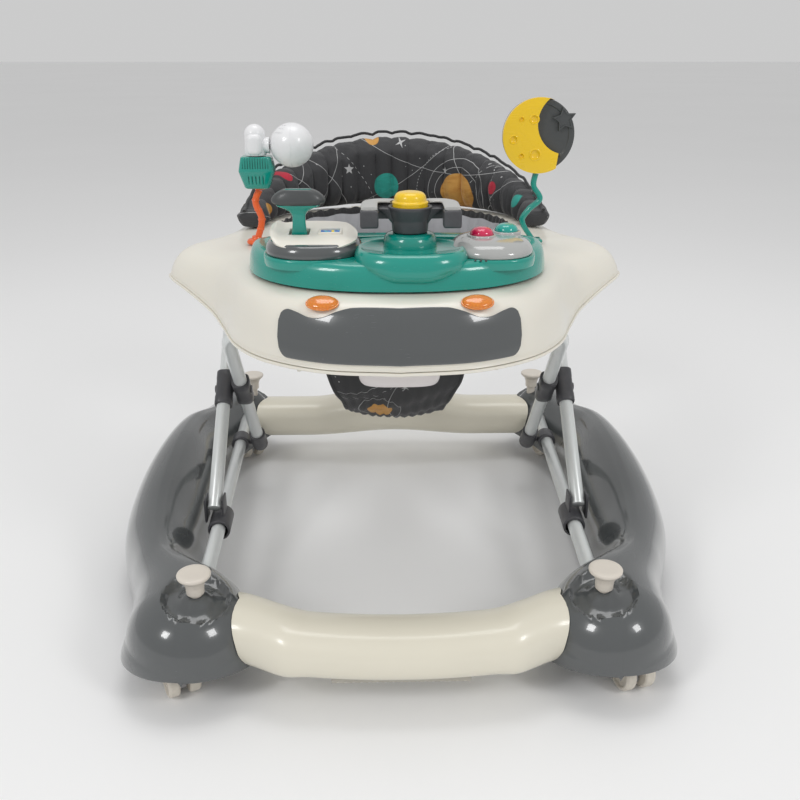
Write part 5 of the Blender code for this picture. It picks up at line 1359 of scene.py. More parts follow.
def steering_wheel():
    """The hub, its two hooked hand grips with pale caps, and the yellow horn."""
    x, y = WHEEL_POST[:2]
    hub = turned("yoke", rounded_profile([
        (0.0056, 0.4521), (0.0172, 0.4521), (0.0176, 0.4560), (0.0182, 0.4640), (0.0214, 0.4745), (0.0214, 0.4770),
        (0.0180, 0.4770), (0.0180, 0.4700), (0.0020, 0.4700)], 0.0012, 4), (x, y, 0), sides=72)
    cut(hub, rod("bore", (x, y, 0.4490), (x, y, 0.4656), 0.0056, 36))
    for way in (-1, 1):
        arm = sweep("arm", smoothed(yoke_path(way)), flat_section(0.0066, 0.0065), up=(0, 0, 1))
        cut(hub, arm, "UNION")
        wing = loft("wing", [[(x + way * a, y + b, z) for a, b in (
            (0.0150, -0.0050), (0.0370, -0.0030), (0.0400, 0.0060), (0.0340, 0.0165), (0.0150, 0.0150))]
            for z in (0.4650, 0.4665, 0.4735, 0.4745)])
        cut(hub, wing, "UNION")
        wedge = loft("wedge", [[(x + way * a * out, y + b, z) for a, b in (
            (0.0100, -0.0075), (0.0200, -0.0070), (0.0225, 0.0040), (0.0205, 0.0140), (0.0100, 0.0150))]
            for z, out in ((0.4610, 0.86), (0.4650, 0.98), (0.4700, 1.22), (0.4742, 1.46), (0.4748, 1.42))])
        cut(hub, wedge, "UNION")
        tip = block("tip", (x + way * 0.0393 - 0.0087, y - 0.0290, 0.4600), (x + way * 0.0393 + 0.0087, y - 0.0130, 0.4768),
                    0.0022, 4)
        cut(hub, tip, "UNION")
    cut(hub, rod("recess", (x, y, 0.4700), (x, y, 0.49), 0.0180, 64))
    soften(hub, 0.0005, 2, 45)
    install(hub, "steering", finish_named("fitting"), "dark_fittings", "steering_wheel", smooth=40)
    for way, side in ((-1, "left"), (1, "right")):
        path = [p + Vector((0, 0, 0.0083)) for p in smoothed(yoke_path(way))[6:]]
        cap = sweep(f"{side}_grip_cap", path, flat_section(0.0078, 0.0016, 3.0), up=(0, 0, 1))
        cut(cap, rod("hub", (x, y, 0.46), (x, y, 0.49), 0.0222, 64))
        install(cap, "steering", finish_named("pale grey"), "dark_fittings", smooth=40)
    profile = [(0.0040, 0.4732), (0.0172, 0.4732), (0.0172, 0.4788), (0.0176, 0.4800), (0.0172, 0.4812), (0.0158, 0.4818),
               (0.0156, 0.4838), (0.0150, 0.4862), (0.0136, 0.4884), (0.0112, 0.4898), (0.0080, 0.4904), (0.0030, 0.4906)]
    horn = turned("horn_cap", rounded_profile(profile, 0.0008, 3), (x, y, 0), sides=72)
    install(horn, "horn", finish_named("yellow"), "yellow_plastic", "horn_button", smooth=50)


# ---- right console ----------------------------------------------------------------------------
def right_console():
    """The pale domed console with a moulded swirl and two push buttons in their collars."""
    x, y = RIGHT_CONSOLE[:2]
    body = loft("sound_console", oval_rings((x, y), RIGHT_CONSOLE[2:], (
        (0.985, 0.4341), (1.0, 0.4352), (0.997, 0.4374), (0.975, 0.4394), (0.945, 0.4412), (0.905, 0.4430), (0.855, 0.4445),
        (0.79, 0.4459), (0.70, 0.4471), (0.58, 0.4479), (0.40, 0.4482)), 2.3, 96))
    for bx, by in (RED_BUTTON, TEAL_BUTTON):
        collar = turned("collar", rounded_profile([(0.0135, 0.4400), (0.0148, 0.4470), (0.0142, 0.4491), (0.0125, 0.4496),
                        (0.0060, 0.4480)], 0.0008), (bx, by, 0), sides=56)
        cut(body, collar, "UNION")
        cut(body, rod("pocket", (bx, by, 0.4436), (bx, by, 0.47), 0.0121, 56))
    swirl = []
    for k in range(37):
        turn = math.radians(-40 + 8.6 * k)
        radius = 0.0030 + 0.0040 * k / 36
        sx, sy = x - 0.0235 + radius * math.cos(turn), y - 0.0080 + radius * 1.15 * math.sin(turn)
        inside = math.hypot((sx - x) / 0.040, (sy - y) / 0.045)
        swirl.append((sx, sy, 0.4490 - 0.0140 * max(0.0, inside - 0.33) ** 1.6))
    cut(body, sweep("swirl", swirl, round_section(0.0011, 12), up=(0, 0, 1)), "UNION")
    install(body, "tray", finish_named("console"), "pale_console", "right_console", smooth=45)
    for name, (bx, by), coat, slot in (("red", RED_BUTTON, "red", "red_plastic"),
                                       ("teal", TEAL_BUTTON, "button teal", "teal_plastic")):
        profile = [(0.0060, 0.4466), (0.0115, 0.4466)]
        for k in range(12):
            lift = math.radians(8 + 80 * k / 11)
            profile.append((0.0115 * math.cos(lift) ** 0.75, 0.4492 + 0.0074 * math.sin(lift)))
        button = turned(f"{name}_dome", profile, (bx, by, 0), sides=56)
        install(button, f"{name}_push", finish_named(coat), slot, f"{name}_button", smooth=50)
    case = block("sound_case", (0.048, -0.184, 0.4095), (0.106, -0.124, 0.4285), 0.002)
    lid = block("lid", (0.0505, -0.1815, 0.4090), (0.1035, -0.1265, 0.4100), 0.0004)
    join(case, lid)
    install(case, "tray", finish_named("case"), "module_case", "sound_module")


# ---- seat -------------------------------------------------------------------------------------
def measure_cloth(piece, measure):
    """Writes the cloth's own map: how far along and up each point is, in metres."""
    layer = piece.data.uv_layers.get("cloth") or piece.data.uv_layers.new(name="cloth")
    spots = [measure(vertex.co) for vertex in piece.data.vertices]
    for loop in piece.data.loops:
        layer.data[loop.index].uv = spots[loop.vertex_index]
    piece.data.uv_layers.active = layer
    for other in [l for l in piece.data.uv_layers if l.name != "cloth"]:
        piece.data.uv_layers.remove(other)


def cloth_area(piece):
    return sum(face.area for face in piece.data.polygons)


def puff(piece, voxel, pressure, limit, frames=20):
    """Fills a closed form with air as a cloth skin and keeps each point within a limit of its place."""
    apply(piece, "REMESH", mode="VOXEL", voxel_size=voxel, use_smooth_shade=True)
    count = len(piece.data.vertices)
    before = np.empty(count * 3)
    piece.data.vertices.foreach_get("co", before)
    pick(piece)
    air = piece.modifiers.new("air", "CLOTH")
    air.settings.quality = 5
    air.settings.mass = 0.25
    air.settings.tension_stiffness = 18
    air.settings.compression_stiffness = 12
    air.settings.bending_stiffness = 0.6
    air.settings.use_pressure = True
    air.settings.uniform_pressure_force = pressure
    air.settings.effector_weights.gravity = 0.0
    air.collision_settings.use_collision = False
    air.point_cache.frame_start, air.point_cache.frame_end = 1, frames
    for frame_number in range(1, frames + 1):
        bpy.context.scene.frame_set(frame_number)
    shaped = piece.evaluated_get(bpy.context.evaluated_depsgraph_get())
    after = np.empty(count * 3)
    shaped.data.vertices.foreach_get("co", after)
    piece.modifiers.remove(air)
    bpy.context.scene.frame_set(1)
    move = (after - before).reshape(-1, 3)
    length = np.linalg.norm(move, axis=1, keepdims=True)
    move *= np.minimum(1.0, limit / np.maximum(length, 1e-9))
    piece.data.vertices.foreach_set("co", (before.reshape(-1, 3) + move).ravel())
    piece.data.update()
    return apply(piece, "SUBSURF", levels=1, render_levels=1)


def pad_rise(theta):
    return 0.022 + 0.078 * max(0.0, math.cos(theta)) ** 1.15


def pad_section(steps):
    """The pad's closed cross-section as (radius, share of height), evenly rounded."""
    outline = [(0.1600, 0.00), (0.1860, 0.00), (0.1895, 0.30), (0.1940, 0.70), (0.1890, 0.945), (0.1800, 0.985),
               (0.1650, 0.93), (0.1590, 0.60)]
    made = []
    count = len(outline)
    for k in range(steps):
        at = count * k / steps
        i, t = int(at), at - int(at)
        p = [outline[(i + j - 1) % count] for j in range(4)]
        made.append(tuple(
            0.5 * (2 * p[1][c] + (p[2][c] - p[0][c]) * t + (2 * p[0][c] - 5 * p[1][c] + 4 * p[2][c] - p[3][c]) * t * t
                   + (3 * p[1][c] - p[0][c] - 3 * p[2][c] + p[3][c]) * t**3) for c in (0, 1)))
    return made


def pad_spot(theta, radius, height):
    return Vector((radius * math.sin(theta), SEAT_CENTRE_Y + 0.9 * radius * math.cos(theta), height))


def pad_measures(point):
    """Angle round the seat, radius and height of a point."""
    back = (point.y - SEAT_CENTRE_Y) / 0.9
    return math.atan2(point.x, back), math.hypot(point.x, back)


def pleat(theta, share):
    """Depth of the gathers: narrow folds of uneven spacing that fan out and fade towards the top."""
    arc = theta * 0.186
    wander = 0.013 * noise.noise((arc * 11, 0.0, 3.1)) + 0.007 * share * noise.noise((arc * 19, 1.7, 0.4))
    fold = abs(math.sin((arc + wander) * math.pi / 0.0290)) ** 0.62
    fine = abs(math.sin((arc + 1.8 * wander) * math.pi / 0.0118 + 0.6)) ** 0.7
    strength = 0.5 + 0.9 * noise.noise((arc * 17, 5.0, share * 1.4))
    low = 1 - 0.40 * smooth_step(share)
    return ((fold - 0.66) * chosen().pleat_depth * (0.75 + strength) + (fine - 0.6) * 0.0016 * (1 - strength)) * low


def seat_back():
    """The padded back of the seat in gathered night-print cloth, piped along its top."""
    section = pad_section(40)
    foot = TRAY_TOP + 0.0012
    reach, steps = math.radians(97.0), 96
    rings = []
    for k in range(steps + 1):
        theta = -reach + 2 * reach * k / steps
        rise = pad_rise(theta)
        ending = max(0.0, (abs(theta) - reach + 0.06) / 0.06)
        squeeze = math.sqrt(max(0.03, 1 - ending**2))
        ring = []
        for radius, share in section:
            up = foot + 0.0012 + (rise - 0.003) * (share * 0.97 + 0.005)
            ring.append(pad_spot(theta, 0.174 + (radius - 0.174) * squeeze, up))
        rings.append(ring)
    pad = loft("seat_back_cushion", rings)
    puff(pad, 0.0045, 4.0, 0.006)
    apply(pad, "SUBSURF", levels=1, render_levels=1)
    for vertex in pad.data.vertices:
        theta, radius = pad_measures(vertex.co)
        rise = pad_rise(theta)
        share = (vertex.co.z - foot) / rise
        fade = smooth_step((reach - abs(theta)) / 0.10) * smooth_step(share / 0.12 + 0.35)
        side = -1.0 if radius < 0.176 else 1.0
        edge = smooth_step(abs(radius - 0.176) / 0.007)
        depth = pleat(theta, share) * fade * edge
        out = Vector((vertex.co.x, (vertex.co.y - SEAT_CENTRE_Y) / 0.9, 0)).normalized()
        vertex.co += out * (side * depth)
        top = smooth_step((share - 0.80) / 0.16)
        vertex.co.z += top * (0.0022 * noise.noise((theta * 15, 2.0, 0.0)) + pleat(theta, 0.4) * 0.5)
        if vertex.co.z < foot:
            vertex.co.z = foot
    apply(pad, "SMOOTH", factor=0.4, iterations=1)
    measure_cloth(pad, lambda co: (pad_measures(co)[0] * 0.160, co.z))
    install(pad, "tray", finish_named("night cloth"), "space_fabric", "seat_back_pad", smooth=80)
    path = []
    for k in range(161):
        theta = -reach * 0.985 + 2 * reach * 0.985 * k / 160
        radius = 0.1868
        path.append(pad_spot(theta, radius, foot + pad_rise(theta) * 0.985 + 0.0022 * noise.noise((theta * 15, 2.0, 0.0))
                             + pleat(theta, 0.4) * 0.5 - 0.0010))
    piping = sweep("seat_back_piping", path, round_section(chosen().piping_radius, 12), up=(0, 0, 1))
    measure_cloth(piping, lambda co: (pad_measures(co)[0] * 0.186, co.z))
    install(piping, "tray", finish_named("binding"), "space_fabric", smooth=60)


def gathered_band(name, levels, reach, ripple, waves, coat, steps=420):
    """A thin gathered band of cloth round the seat hole; levels are (share of the hole, height)."""
    half_x, half_y, centre = SEAT_HOLE
    whole = reach > math.pi - 0.01
    rows = []
    for i, (share, height) in enumerate(levels):
        row = []
        for k in range(steps if whole else steps + 1):
            theta = -reach + 2 * reach * k / steps
            phase = theta * waves + 1.8 * noise.noise((theta * 2.2, 0.7, 0.0))
            fold = math.sin(phase) + 0.45 * math.sin(phase * 2.3 + 1.0)
            swing = ripple * fold * math.sin(math.pi * min(1.0, (i + 0.6) / len(levels)))
            scale = share + swing
            row.append((half_x * scale * math.sin(theta), centre + half_y * scale * math.cos(theta),
                        height + 0.0010 * math.sin(phase * 0.5)))
        rows.append(row)
    band = skin(name, rows, wrap=whole, closed=False)
    area = cloth_area(band)
    wall(band, 0.0009, 0.0)
    measure_cloth(band, lambda co: (math.atan2(co.x / half_x, (co.y - centre) / half_y) * 0.145, co.z))
    install(band, "tray", finish_named(coat), "space_fabric", smooth=70)
    return band, area


def seat_linings():
    """The pale lining that hangs inside the hole and the dark gathered band above it."""
    lining, area = gathered_band("seat_lining", [
        (0.955, 0.4020), (0.950, 0.3980), (0.944, 0.3920), (0.938, 0.3860), (0.934, 0.3790), (0.932, 0.3720),
        (0.932, 0.3640)], math.pi, 0.0060, 41, "lining")
    ruffle, area = gathered_band("seat_ruffle", [
        (0.972, 0.4098), (0.968, 0.4085), (0.964, 0.4060), (0.961, 0.4030), (0.960, 0.4000)], math.radians(118), 0.0052, 96,
        "binding")


def pouch_spot(t, s):
    """A point of the sling seat: t from the front edge to the back, s across from -1 to 1."""
    y = -0.034 + 0.246 * t
    sag = 1 - abs(2 * t - 1) ** 2.4
    z = 0.372 - 0.196 * sag - 0.022 * smooth_step(sag / 0.7)
    half = 0.054 + 0.060 * (1 - sag) ** (0.75 if t < 0.5 else 1.5)
    pull = 0.055 * s * s * (1 - sag) ** 2
    crease = 0.0016 * math.sin(34 * s + 9 * t + 2.0 * noise.noise((s * 2, t * 5, 0))) * (1 - abs(s)) ** 0.3
    crease += 0.0012 * math.sin(70 * t + 5 * s)
    return Vector((
        half * s * (1 + 0.015 * math.sin(40 * t)), y + pull * (1 if t < 0.5 else -1), z + 0.010 * s * s * sag + crease))


def seat_pouch():
    """The quilted sling seat with bound edges."""
    rows = [[pouch_spot(i / 90, -1 + 2 * j / 44) for j in range(45)] for i in range(91)]
    lengths = [0.0]
    for a, b in zip(rows, rows[1:]):
        lengths.append(lengths[-1] + (b[22] - a[22]).length)
    sling = skin("seat_sling", rows, closed=False)
    layer = sling.data.uv_layers[0]
    layer.name = "cloth"
    for loop in sling.data.loops:
        uv = layer.data[loop.index].uv
        t = uv[1]
        at = min(90.0, max(0.0, t * 90))
        i = min(89, int(at))
        along = lengths[i] + (lengths[i + 1] - lengths[i]) * (at - i)
        layer.data[loop.index].uv = (sling.data.vertices[loop.vertex_index].co.x, along)
    wall(sling, 0.0042, 0.0)
    soften(sling, 0.0009, 2, 60)
    install(sling, "tray", finish_named("pouch cloth"), "space_fabric", "seat_pouch", smooth=70)
    for s, side in ((-1, "left"), (1, "right")):
        path = [pouch_spot(i / 70, s) for i in range(1, 70)]
        tape = sweep(f"sling_binding_{side}", path, flat_section(0.0030, 0.0034, 2.6, 18), up=(1, 0, 0))
        measure_cloth(tape, lambda co: (co.y, co.z))
        install(tape, "tray", finish_named("binding"), "space_fabric", smooth=60)


# ---- toys on stalks ---------------------------------------------------------------------------
def stalk_path(sign, bends, top, steps=60):
    stations = [(0.4090, sign * 0.160)] + list(bends)
    path = []
    for k in range(steps + 1):
        z = stations[0][0] + (top - stations[0][0]) * k / steps
        path.append(Vector((through(stations, z, 1), STALK_Y, z)))
    return path


def left_toys():
    """The orange stalk, the ribbed teal box, the white capsule toy and the ball that spins."""
    path = stalk_path(-1, ((0.435, -0.1530), (0.455, -0.1590), (0.4705, -0.1530)), 0.4683)
    stalk = sweep("orange_stem", path, flat_section(0.0037, 0.0040, 2.6), up=(0, 1, 0))
    foot = turned("foot", rounded_profile([
        (0.0112, 0.4080), (0.0115, 0.4100), (0.0100, 0.4122), (0.0060, 0.4130), (0.0050, 0.4160)], 0.0008),
        (-0.160, STALK_Y, 0), sides=48)
    cut(stalk, foot, "UNION")
    for k in range(4):
        bends = [(0.4090, -0.160), (0.435, -0.1530), (0.455, -0.1590), (0.4705, -0.1530)]
        spot = Vector((through(bends, 0.424 + 0.011 * k, 1),
                       STALK_Y, 0.424 + 0.011 * k))
        rib = turned("rib", [(0.0036, -0.0016), (0.0044, -0.0008), (0.0044, 0.0008), (0.0036, 0.0016)], spot, sides=28)
        cut(stalk, rib, "UNION")
    install(stalk, "tray", finish_named("orange"), "orange_plastic", "orange_stalk", smooth=45)
    x, y = -0.1550, STALK_Y
    rings = []
    for z, half_x, half_y in (
        (0.4706, 0.0120, 0.0100), (0.4712, 0.0133, 0.0110), (0.4724, 0.0142, 0.0117), (0.4800, 0.0168, 0.0134),
        (0.4880, 0.0195, 0.0150), (0.4896, 0.0199, 0.0154), (0.4910, 0.0197, 0.0153), (0.4990, 0.0182, 0.0146),
        (0.5046, 0.0170, 0.0139), (0.5054, 0.0158, 0.0128)):
        corner = [superellipse(half_x, half_y, 2 * math.pi * k / 72, 5.5) for k in range(72)]
        rings.append([(x + a, y + b, z) for a, b in corner])
    cube = loft("ribbed_box", rings)
    for k in range(11):
        at = x - 0.0140 + 0.0028 * k
        groove = block("groove", (at - 0.0006, y - 0.03, 0.4930), (at + 0.0006, y - 0.0132, 0.5062))
        cut(cube, groove)
    for k in range(5):
        at = x - 0.0080 + 0.0040 * k
        cut(cube, block("slit", (at - 0.0006, y - 0.03, 0.4760), (at + 0.0006, y - 0.0118, 0.4850), 0.0003, 1))
    soften(cube, 0.0003, 2, 40)
    ring = turned("socket", rounded_profile(
        [(0.0048, 0.4692), (0.0064, 0.4692), (0.0068, 0.4712), (0.0040, 0.4716)], 0.0005),
                  (-0.1530, y, 0), sides=40)
    install(cube, "tray", finish_named("teal"), "teal_plastic", "teal_box", smooth=35)
    install(ring, "tray", finish_named("orange"), "orange_plastic")
    # the white toy: a tall capsule, a shorter block before it and the arm to the ball
    profile = [(0.0100, 0.5062), (0.0118, 0.5066), (0.0122, 0.5085), (0.0116, 0.5160), (0.0112, 0.5220), (0.0116, 0.5270)]
    for k in range(1, 10):
        lift = math.radians(88 * k / 9)
        profile.append((0.0116 * math.cos(lift), 0.5280 + 0.0116 * math.sin(lift)))
    body = turned("white_figure", profile, (-0.1556, y, 0), sides=56)
    front = block("front", (-0.1640, y - 0.0150, 0.5066), (-0.1470, y + 0.002, 0.5300), 0.0062, 6)
    cut(body, front, "UNION")
    end = BALL[0] - BALL[2] - 0.0006
    neck = turned("neck", rounded_profile([(0.0100, 0.0), (0.0088, 0.0050), (0.0084, 0.0100), (0.0086, 0.0125),
                  (0.0092, end + 0.1540)], 0.0006), (-0.1540, y, BALL[1]), (1, 0, 0), 48)
    cut(body, neck, "UNION")
    cut(body, rod("pin", (end - 0.004, y, BALL[1]), (BALL[0], y, BALL[1]), 0.0025, 24), "UNION")
    install(body, "tray", finish_named("white"), "white_plastic", "white_toy", smooth=50)
    deselect()
    bpy.ops.mesh.primitive_uv_sphere_add(
        segments=72, ring_count=40, radius=BALL[2], location=(0, 0, 0), rotation=(0, math.pi / 2, 0))
    ball = bpy.context.object
    ball.name = ball.data.name = "spinning_ball"
    ball.location = (BALL[0], y, BALL[1])
    settle(ball)
    cut(ball, rod("bore", (BALL[0] - BALL[2] - 0.004, y, BALL[1]), (BALL[0] + 0.003, y, BALL[1]), 0.0029, 32))
    seam = [Vector((BALL[0] + 0.0004, y + 0.0241 * math.cos(a), BALL[1] + 0.0241 * math.sin(a))) for a in
            (2 * math.pi * k / 96 for k in range(97))]
    cut(ball, sweep("seam", seam, round_section(0.0004, 6), up=(1, 0, 0)))
    for k in range(3):
        lift = math.radians(38 + 13 * k)
        arc = []
        for j in range(13):
            turn = math.radians(-148 + 2.6 * j)
            arc.append(Vector((BALL[0] + 0.0240 * math.cos(lift) * math.cos(turn),
                               y + 0.0240 * math.cos(lift) * math.sin(turn),
                               BALL[1] + 0.0240 * math.sin(lift))))
        cut(ball, sweep("mark", arc, round_section(0.0006, 8), up=(0, 0, 1)), "UNION")
    install(ball, "ball", finish_named("white"), "white_plastic", "white_ball", smooth=50)


def star_points(x, z, reach, waist, turn, points=5):
    made = []
    for k in range(points * 2):
        angle = math.radians(turn + 180.0 / points * k)
        length = reach if k % 2 == 0 else reach * waist
        made.append((x + length * math.cos(angle), z + length * math.sin(angle)))
    return made


def right_toys():
    """The teal ribbon stalk and the moon: a yellow crescent over a dark disc with a raised star."""
    y = STALK_Y
    x, z, radius = MOON
    bottom = z - radius
    bends = ((0.432, 0.1460), (0.445, 0.1530), (0.457, 0.1650), (0.472, 0.1570), (bottom, 0.1590))
    path = stalk_path(1, bends, bottom - 0.0014, 80)
    ring = []
    for k in range(40):
        a, b = superellipse(0.0032, 0.0042, 2 * math.pi * k / 40, 2.6)
        ring.append((a * (1 - 0.34 * math.exp(-(b / 0.0011) ** 2)), b))
    stalk = sweep("teal_ribbon", path, lambda share: ring, up=(0, 1, 0))
    foot = block("foot", (0.1505, y - 0.0095, 0.4080), (0.1695, y + 0.0095, 0.4118), 0.0016)
    cut(stalk, foot, "UNION")
    install(stalk, "tray", finish_named("teal"), "teal_plastic", "teal_stalk", smooth=45)
    disc = turned("night_disc", rounded_profile([
        (0.0300, -0.0022), (0.0310, -0.0030), (radius, -0.0030), (radius, 0.0030), (0.0340, 0.0030), (0.0330, 0.0018),
        (0.0020, 0.0018)], 0.0009), (x, y, z), (0, -1, 0), 96)
    outline = star_points(x + 0.0275, z + 0.0170, 0.0138, 0.50, 100)
    star = loft("star", [[(a, depth, b) for a, b in outline] for depth in (y - 0.0060, y + 0.001)])
    soften(star, 0.0007, 3, 20)
    inner = star_points(x + 0.0275, z + 0.0170, 0.0104, 0.50, 100)
    cut(star, loft("inner", [[(a, depth, b) for a, b in inner] for depth in (y - 0.0090, y - 0.0052)]))
    cut(disc, star, "UNION")
    install(disc, "moon", finish_named("dark satin"), "dark_fittings", "moon_disc", smooth=40)
    outline = []
    for k in range(73):
        angle = math.radians(72 + (300 - 72) * k / 72)
        outline.append((x + (radius + 0.0005) * math.cos(angle), z + (radius + 0.0005) * math.sin(angle)))
    cut_x, cut_z, cut_radius = x + 0.0310, z + 0.0135, 0.0335
    start = math.atan2(outline[-1][1] - cut_z, outline[-1][0] - cut_x) % (2 * math.pi)
    end = math.atan2(outline[0][1] - cut_z, outline[0][0] - cut_x) % (2 * math.pi)
    for k in range(1, 48):
        angle = start + (end - start) * k / 48
        outline.append((cut_x + cut_radius * math.cos(angle), cut_z + cut_radius * math.sin(angle)))
    crescent = slab("crescent", [(a, y - 0.0095, b) for a, b in outline], (0, 0.0059, 0))
    soften(crescent, 0.0021, 5, 40)
    for cx, cz, wide in ((-0.0067, 0.0175, 0.0046), (-0.0285, -0.0040, 0.0042),
                         (-0.0040, -0.0200, 0.0056), (-0.0205, 0.0175, 0.0025),
                         (-0.0190, -0.0215, 0.0028)):
        spot = (x + cx, y - 0.0095, z + cz)
        rim = turned("rim", rounded_profile(
            [(wide * 1.32, 0.0008), (wide * 1.20, -0.0003), (wide, -0.0007), (wide * 0.5, 0.0010)],
                     0.0005), spot, (0, 1, 0), 40)
        cut(crescent, rim, "UNION")
        bowl = turned("bowl", [
            (wide * 0.99, -0.0020), (wide * 0.92, 0.0002), (wide * 0.70, 0.0012), (wide * 0.30, 0.0017)],
            spot, (0, 1, 0), 36)
        cut(crescent, bowl)
    install(crescent, "moon", finish_named("yellow"), "yellow_plastic", "moon_crescent", smooth=45)


# ---- stage ------------------------------------------------------------------------------------
def softbox(name, place, target, width, height, power):
    deselect()
    bpy.ops.object.light_add(type="AREA", location=place)
    light = bpy.context.object
    light.name = name
    light.data.shape = "RECTANGLE"
    light.data.size, light.data.size_y = width, height
    light.data.energy = power
    light.rotation_euler = (Vector(target) - Vector(place)).to_track_quat("-Z", "Y").to_euler()


def build_stage(settings):
    """A pale floor, soft lights and the camera."""
    deselect()
    bpy.ops.mesh.primitive_plane_add(size=60, location=(0, 0, -0.0005))
    floor = bpy.context.object
    floor.name = "floor"
    settle(floor)
    paper = Finish("floor_paper", (0.90, 0.90, 0.90), 0.9)
    paper.put("Base Color", paper.blend((0.88, 0.88, 0.88), (0.92, 0.92, 0.92), paper.noise(0.8, 2.0)))
    floor.data.materials.append(paper.coat)
    world = bpy.context.scene.world or bpy.data.worlds.new("studio")
    bpy.context.scene.world = world
    world.use_nodes = True
    back = world.node_tree.nodes["Background"]
    back.inputs["Color"].default_value = (1.0, 1.0, 1.0, 1.0)
    back.inputs["Strength"].default_value = settings.sky_strength
    middle = (0.0, 0.0, 0.25)
    softbox("key_softbox", (-1.7, -1.9, 2.1), middle, 0.62, 0.75, 18 * settings.light_strength)
    softbox("fill_softbox", (1.8, -1.7, 1.9), middle, 0.60, 0.70, 14 * settings.light_strength)
    softbox("top_softbox", (0.0, 0.3, 2.6), middle, 1.3, 1.0, 12 * settings.light_strength)
    bpy.ops.object.camera_add(location=(-0.0173, -1.0253, 0.6234), rotation=(math.radians(67.856), 0, math.radians(-1.269)))
    camera = bpy.context.object
    camera.name = "camera"
    camera.data.sensor_width = 36.0
    camera.data.lens = 39.63
    camera.data.clip_start = 0.02
    bpy.context.scene.camera = camera
    bpy.context.scene.view_settings.view_transform = "Standard"


# ---- the add-on -------------------------------------------------------------------------------
class WALKER_PG_look(bpy.types.PropertyGroup):
    """The sizes, colours and lights a user may change."""

    tube_radius: FloatProperty(
        name="Tube radius", description="Outside radius of the leg and base tubes, followed by the fittings on them",
        default=0.0085, min=0.007, max=0.0095, precision=4, unit="LENGTH")
    piping_radius: FloatProperty(
        name="Piping radius", description="Radius of the piping along the top of the seat back",
        default=0.0019, min=0.001, max=0.003, precision=4, unit="LENGTH")
    pleat_depth: FloatProperty(
        name="Pleat depth", description="Depth of the folds in the seat back",
        default=0.0058, min=0.0, max=0.008, precision=4, unit="LENGTH")

    dark_colour: FloatVectorProperty(
        name="Dark plastic", description="Colour of the base shells, bumper and left console", subtype="COLOR",
        default=(0.080, 0.086, 0.088), min=0.0, max=1.0)
    cream_colour: FloatVectorProperty(
        name="Cream plastic", description="Colour of the tray and rails", subtype="COLOR",
        default=(0.795, 0.765, 0.680), min=0.0, max=1.0)
    teal_colour: FloatVectorProperty(
        name="Teal plastic", description="Colour of the toy panel, lever and ribbon stalk", subtype="COLOR",
        default=(0.0, 0.285, 0.225), min=0.0, max=1.0)
    light_strength: FloatProperty(
        name="Light strength", description="Brightness of the three softboxes", default=1.0, min=0.0, soft_max=3.0)
    sky_strength: FloatProperty(
        name="Room light", description="Brightness of the white room round the walker", default=0.60, min=0.0, soft_max=2.0)


def ready():
    """Mixes the finishes before the first piece that needs them."""
    if not FINISHES:
        mix_finishes(chosen())


class WALKER_OT_base_shells(bpy.types.Operator):
    """Models the two glossy runners."""

    bl_idname = "walker.base_shells"
    bl_label = "Base shells"
    bl_options = {"REGISTER", "UNDO"}

    def execute(self, context):
        ready()
        for side, sign in SIDES:
            base_shell(side, sign)
        return {"FINISHED"}


class WALKER_OT_base_rails(bpy.types.Operator):
    """Models the front and rear rails and the rubber strip."""

    bl_idname = "walker.base_rails"
    bl_label = "Base rails"
    bl_options = {"REGISTER", "UNDO"}

    def execute(self, context):
        ready()
        base_rail("base_front_rail", False)
        base_rail("base_rear_rail", True)
        brake_strip()
        return {"FINISHED"}


class WALKER_OT_knobs_and_casters(bpy.types.Operator):
    """Models the four lift knobs with their casters."""

    bl_idname = "walker.knobs_and_casters"
    bl_label = "Knobs and casters"
    bl_options = {"REGISTER", "UNDO"}

    def execute(self, context):
        ready()
        for name, end, sign in corners():
            lift_knob(name, end, sign)
        for name, end, sign in corners():
            caster(name, end, sign)
        return {"FINISHED"}


class WALKER_OT_leg_frames(bpy.types.Operator):
    """Models the tubes and fittings of the folding legs."""

    bl_idname = "walker.leg_frames"
    bl_label = "Leg frames"
    bl_options = {"REGISTER", "UNDO"}

    def execute(self, context):
        ready()
        for side, sign in SIDES:
            base_tube(side, sign)
        front_leg_tube()
        for side, sign in SIDES:
            rear_leg_tube(side, sign)
        for side, sign in SIDES:
            leg_fittings(side, sign)
        return {"FINISHED"}


class WALKER_OT_tray(bpy.types.Operator):
    """Models the cream tray, its floor and the pull handle."""

    bl_idname = "walker.tray"
    bl_label = "Tray"
    bl_options = {"REGISTER", "UNDO"}

    def execute(self, context):
        ready()
        tray_shells()
        release_handle()
        return {"FINISHED"}


class WALKER_OT_bumper_and_lamps(bpy.types.Operator):
    """Models the dark nose panel and the two lamps."""

    bl_idname = "walker.bumper_and_lamps"
    bl_label = "Bumper and lamps"
    bl_options = {"REGISTER", "UNDO"}

    def execute(self, context):
        ready()
        bumper()
        for side, sign in SIDES:
            lamp(side, sign)
        return {"FINISHED"}


class WALKER_OT_toy_panel(bpy.types.Operator):
    """Models the teal panel with its desk and wheel post."""

    bl_idname = "walker.toy_panel"
    bl_label = "Toy panel"
    bl_options = {"REGISTER", "UNDO"}

    def execute(self, context):
        ready()
        toy_panel()
        return {"FINISHED"}


class WALKER_OT_left_console(bpy.types.Operator):
    """Models the console with the lever and the picture drum."""

    bl_idname = "walker.left_console"
    bl_label = "Left console"
    bl_options = {"REGISTER", "UNDO"}

    def execute(self, context):
        ready()
        left_console()
        gear_lever()
        return {"FINISHED"}


